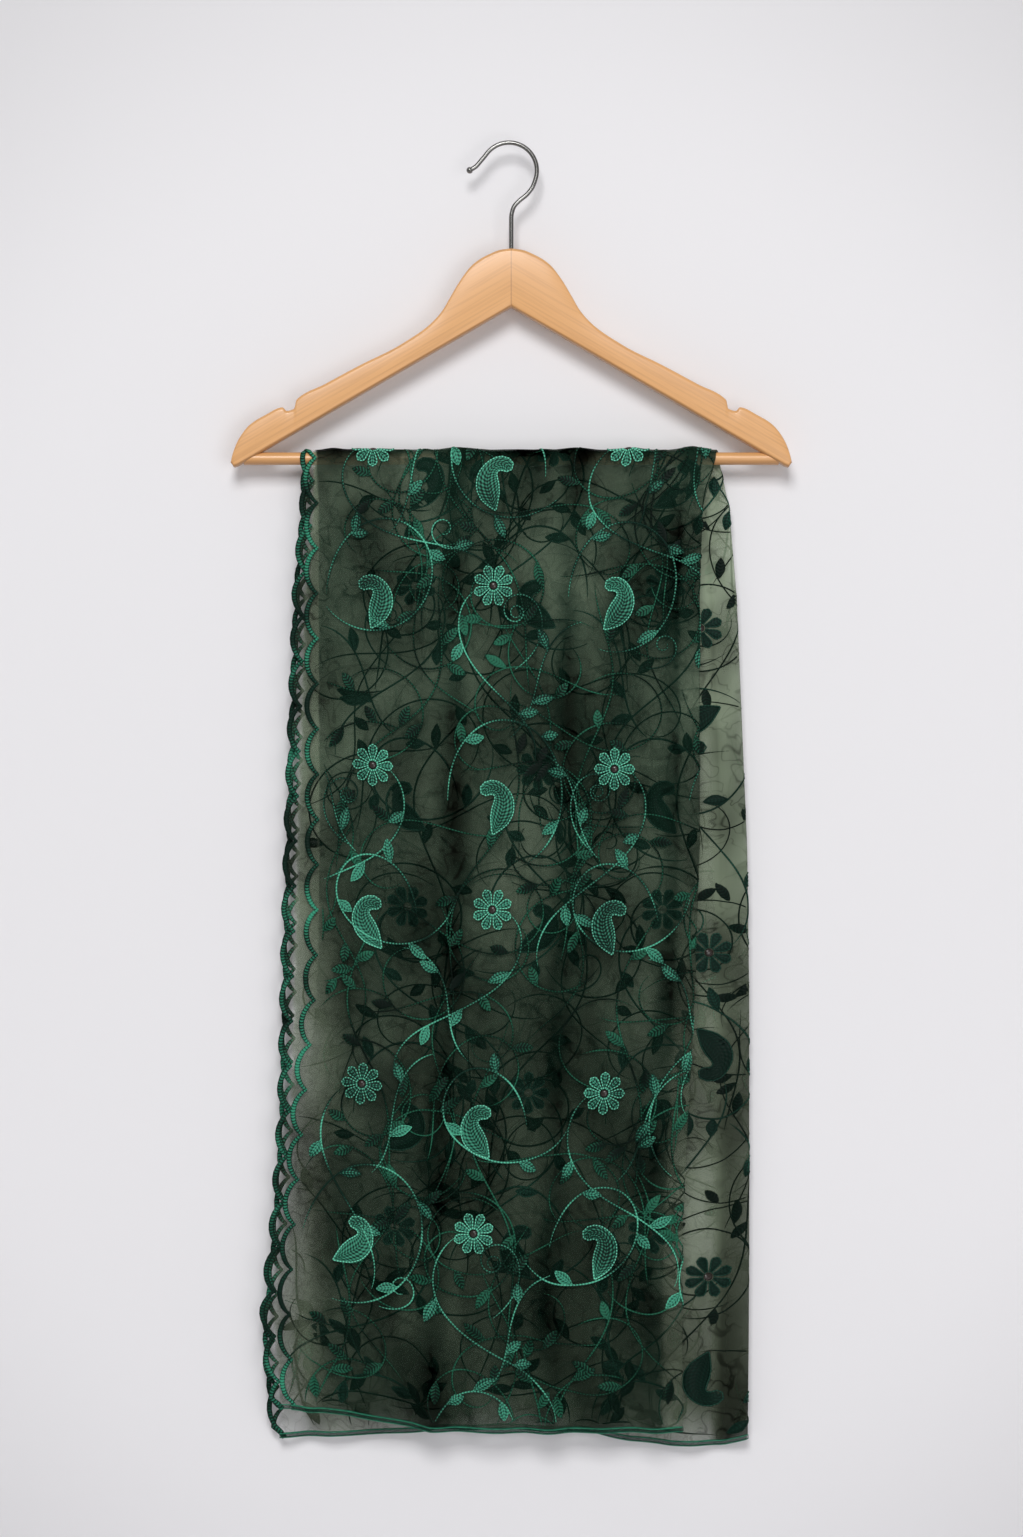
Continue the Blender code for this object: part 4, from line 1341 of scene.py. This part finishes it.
class STOLE_OT_hanger(Operator):
    """Builds the two wooden arms, the bar and the steel hook"""
    bl_idname = "stole.hanger"
    bl_label = "Hanger"

    def execute(self, context):
        settings = context.scene.stole_hanger
        wood = wood_material("wood", settings.wood_light, settings.wood_dark, GRAIN_SLOPE,
                             ARM_PAINTED_SHADE)
        for name, side in (("left", -1.0), ("right", 1.0)):
            rings = arm_rings(side)
            lower = lower_edge(np.abs(rings[..., 0] - HANGER_CENTRE_X))
            arm = add_piece(f"arm_{name}", [(rings, above_edge(rings, lower))], True, wood)
            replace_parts(closed_up(arm, WOOD_CREASE), f"hanger_arm_{name}")
        straight = wood_material("bar_wood", settings.wood_light, settings.wood_dark, 0.0,
                                 BAR_PAINTED_SHADE)
        ends = HANGER_CENTRE_X + BAR_HALF_LENGTH * np.array((-1.0, 1.0))
        line = np.stack((ends, np.zeros(2), np.full(2, BAR_Z)), axis=1)
        rings = tube_rings(line, np.full(2, BAR_RADIUS), BAR_SIDES)
        pattern = above_edge(rings, BAR_Z - BAR_RADIUS)
        bar = add_piece("bar", [(rings, pattern)], True, straight)
        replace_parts(closed_up(bar, WOOD_CREASE), "trouser_bar")
        steel = plain_material("steel", settings.steel, 0.24, 1.0)
        rings = tube_rings(*hook_line(), WIRE_SIDES)
        wire = add_piece("hook_wire", [(rings, np.zeros(3))], True, steel)
        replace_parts(closed_up(wire, WIRE_CREASE), "hook")
        return {"FINISHED"}


class STOLE_OT_net(Operator):
    """Builds the doubled net over the bar, hem to hem"""
    bl_idname = "stole.net"
    bl_label = "Net"

    def execute(self, context):
        settings = context.scene.stole_cloth
        net = net_material("net", settings.net, settings.net_behind_painted_light, settings.cell,
                           settings.cover)
        cloth = add_piece("net", [net_grid()], False, net)
        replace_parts(cloth, "front_fall", "bar_turn", "back_fall")
        return {"FINISHED"}


class STOLE_OT_edges(Operator):
    """Builds the satin scallops and both hems"""
    bl_idname = "stole.edges"
    bl_label = "Edges"

    def execute(self, context):
        settings = context.scene.stole_cloth
        satin = thread_material("satin", settings.satin)
        turned = hem_material("hem_edge", settings.satin)
        outer, inner = scallop_arcs(0.0, True), scallop_arcs(0.5, False)
        for i, (name, hem) in enumerate((("front", -HEM_HEIGHT / 2 - GAP),
                                         ("back", NET_LENGTH + HEM_HEIGHT / 2 + GAP))):
            arcs = satin_arcs(np.concatenate((outer[i], inner[i])))
            border = add_thread(f"border_{name}", [arcs], satin)
            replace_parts(border, f"{name}_outer_border", f"{name}_inner_border")
            band = add_thread(f"hem_{name}", [hem_band(hem)], turned)
            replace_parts(band, f"{name}_hem")
        return {"FINISHED"}


class STOLE_OT_vines(Operator):
    """Embroiders the curling vines and their leaves"""
    bl_idname = "stole.vines"
    bl_label = "Vines"

    def execute(self, context):
        settings = context.scene.stole_cloth
        rng = np.random.default_rng(SEED)
        motifs = motif_places(-STROKE_MARGIN)
        # The dark kind is painted shade: darker copies of the vine and leaf threads
        colours = {"bright": (settings.vine, settings.leaf),
                   "dark": (settings.dark_vine, settings.dark_vine)}
        for kind, (vine, leaf) in colours.items():
            height = VINE_HEIGHT[kind]
            vines, leaves, rims = [], [], []
            for stroke in (row for row in STROKES if row.thread == kind):
                paths, headings = stroke_paths(stroke, motifs, rng)
                vines.append(cords(paths, stroke.width_mm * MM, height))
                if stroke.leaves:
                    sprigs = leaf_paths(paths, headings, stroke.leaves, LEAF_LENGTH[kind], rng)
                    leaves.append(filled_shapes(sprigs, LEAF, height))
                    rims.append(outline_cords(sprigs, LEAF, LEAF_OUTLINE,
                                              height * LEAF_OUTLINE_RISE))
            cord = thread_material(f"{kind}_vine", vine)
            add_thread(f"{kind}_vines", vines, cord)
            fill = thread_material(f"{kind}_leaf", leaf)
            add_thread(f"{kind}_leaves", leaves, fill)
            if kind == "bright":
                add_thread("leaf_outlines", rims, cord)
        return {"FINISHED"}


class STOLE_OT_flowers(Operator):
    """Embroiders the eight-petalled flowers and their beads"""
    bl_idname = "stole.flowers"
    bl_label = "Flowers"

    def execute(self, context):
        settings = context.scene.stole_cloth
        motifs = [m for m in motif_places(MOTIF_MARGIN) if m.name == "flower"]
        paths = petal_paths(motifs)
        fill = thread_material("flower", settings.flower)
        add_thread("petals", [filled_shapes(paths, PETAL, FILL_HEIGHT)], fill)
        cord = thread_material("petal_outline", settings.outline)
        rims = outline_cords(paths, PETAL, PETAL_OUTLINE, OUTLINE_HEIGHT)
        add_thread("petal_outlines", [rims], cord)
        spines = disc_paths(motifs, BEAD_RADIUS)
        half = BEAD_RADIUS * np.sin(np.linspace(BEAD_POLE, math.pi - BEAD_POLE, BEAD_STEPS))
        half = np.broadcast_to(half, spines.shape[:2])
        bead = plain_material("bead", settings.bead, 0.22)
        add_thread("beads", [carried(spines, half, half * BEAD_DOME, DOME_PROFILE)], bead)
        return {"FINISHED"}


class STOLE_OT_paisleys(Operator):
    """Embroiders the paisleys"""
    bl_idname = "stole.paisleys"
    bl_label = "Paisleys"

    def execute(self, context):
        settings = context.scene.stole_cloth
        paths = paisley_paths([m for m in motif_places(MOTIF_MARGIN) if m.name == "paisley"])
        fill = thread_material("paisley", settings.paisley)
        add_thread("paisleys", [filled_shapes(paths, PAISLEY, FILL_HEIGHT)], fill)
        cord = thread_material("paisley_outline", settings.outline)
        rims = outline_cords(paths, PAISLEY, PAISLEY_OUTLINE, OUTLINE_HEIGHT)
        add_thread("paisley_outlines", [rims], cord)
        return {"FINISHED"}


class STOLE_OT_stage(Operator):
    """Builds the pale wall and floor, the lights and the camera"""
    bl_idname = "stole.stage"
    bl_label = "Stage"

    def execute(self, context):
        settings = context.scene.stole_stage
        scene = context.scene
        matt = one_sided_material("wall", settings.wall)
        wall_y = settings.wall_gap
        sides = (-STAGE_HALF_WIDTH, STAGE_HALF_WIDTH)
        x, z = np.meshgrid(sides, (FLOOR_Z, WALL_TOP))
        add_sheet("wall", np.stack((x, np.full(x.shape, wall_y), z), axis=-1), matt)
        x, y = np.meshgrid(sides, (FLOOR_FRONT, wall_y))
        add_sheet("floor", np.stack((x, y, np.full(x.shape, FLOOR_Z)), axis=-1), matt)
        add_lamp(KEY_LAMP, settings.key_power)
        add_lamp(FILL_LAMP, settings.fill_power)
        world = bpy.data.worlds.new("room")
        world.use_nodes = True
        background = world.node_tree.nodes["Background"]
        background.inputs["Color"].default_value = SKY_COLOUR
        background.inputs["Strength"].default_value = settings.sky
        scene.world = world
        scene.view_settings.view_transform = "Standard"
        lens = bpy.data.cameras.new("camera")
        lens.lens = CAMERA_LENS_MM
        lens.sensor_width = CAMERA_SENSOR_MM
        camera = bpy.data.objects.new("camera", lens)
        camera.location = CAMERA_PLACE
        camera.rotation_euler = (math.pi / 2, 0.0, 0.0)
        scene.collection.objects.link(camera)
        scene.camera = camera
        return {"FINISHED"}


def add_sheet(name, grid, material):
    """A plain rectangle of the stage, facing the camera or up."""
    mesh = bpy.data.meshes.new(name)
    mesh.from_pydata(grid.reshape(-1, 3).tolist(), [], [(0, 1, 3, 2)])
    mesh.materials.append(material)
    sheet = bpy.data.objects.new(name, mesh)
    bpy.context.scene.collection.objects.link(sheet)


def add_lamp(row, power):
    """A square area lamp, as its row says, turned to its target."""
    data = bpy.data.lights.new(row.name, "AREA")
    data.size = row.size
    data.energy = power
    lamp = bpy.data.objects.new(row.name, data)
    lamp.location = row.place
    way = Vector(row.target) - Vector(row.place)
    lamp.rotation_euler = way.to_track_quat("-Z", "Y").to_euler()
    bpy.context.scene.collection.objects.link(lamp)


class STOLE_PT_panel(Panel):
    """Settings and pieces of the stole"""
    bl_idname = "STOLE_PT_panel"
    bl_label = "Net Stole"
    bl_space_type = "VIEW_3D"
    bl_region_type = "UI"
    bl_category = "Stole"

    def draw(self, context):
        for group in (context.scene.stole_hanger, context.scene.stole_cloth,
                      context.scene.stole_stage):
            box = self.layout.box()
            for name in group.__annotations__:
                box.prop(group, name)
        for operator in OPERATORS:
            self.layout.operator(operator.bl_idname)


OPERATORS = (STOLE_OT_hanger, STOLE_OT_net, STOLE_OT_edges, STOLE_OT_vines, STOLE_OT_flowers,
             STOLE_OT_paisleys, STOLE_OT_stage)
GROUPS = {"stole_hanger": StoleHangerSettings, "stole_cloth": StoleClothSettings,
          "stole_stage": StoleStageSettings}


def register():
    """Registers the settings, operators and panel."""
    for kind in (*GROUPS.values(), *OPERATORS, STOLE_PT_panel):
        bpy.utils.register_class(kind)
    for name, group in GROUPS.items():
        setattr(bpy.types.Scene, name, PointerProperty(type=group))


def unregister():
    """Takes the settings, operators and panel out again."""
    for name in GROUPS:
        delattr(bpy.types.Scene, name)
    for kind in reversed((*GROUPS.values(), *OPERATORS, STOLE_PT_panel)):
        bpy.utils.unregister_class(kind)


def main():
    """Builds every piece and the stage."""
    register()
    bpy.ops.stole.hanger()
    bpy.ops.stole.net()
    bpy.ops.stole.edges()
    bpy.ops.stole.vines()
    bpy.ops.stole.flowers()
    bpy.ops.stole.paisleys()
    bpy.ops.stole.stage()


if __name__ == "__main__":
    main()
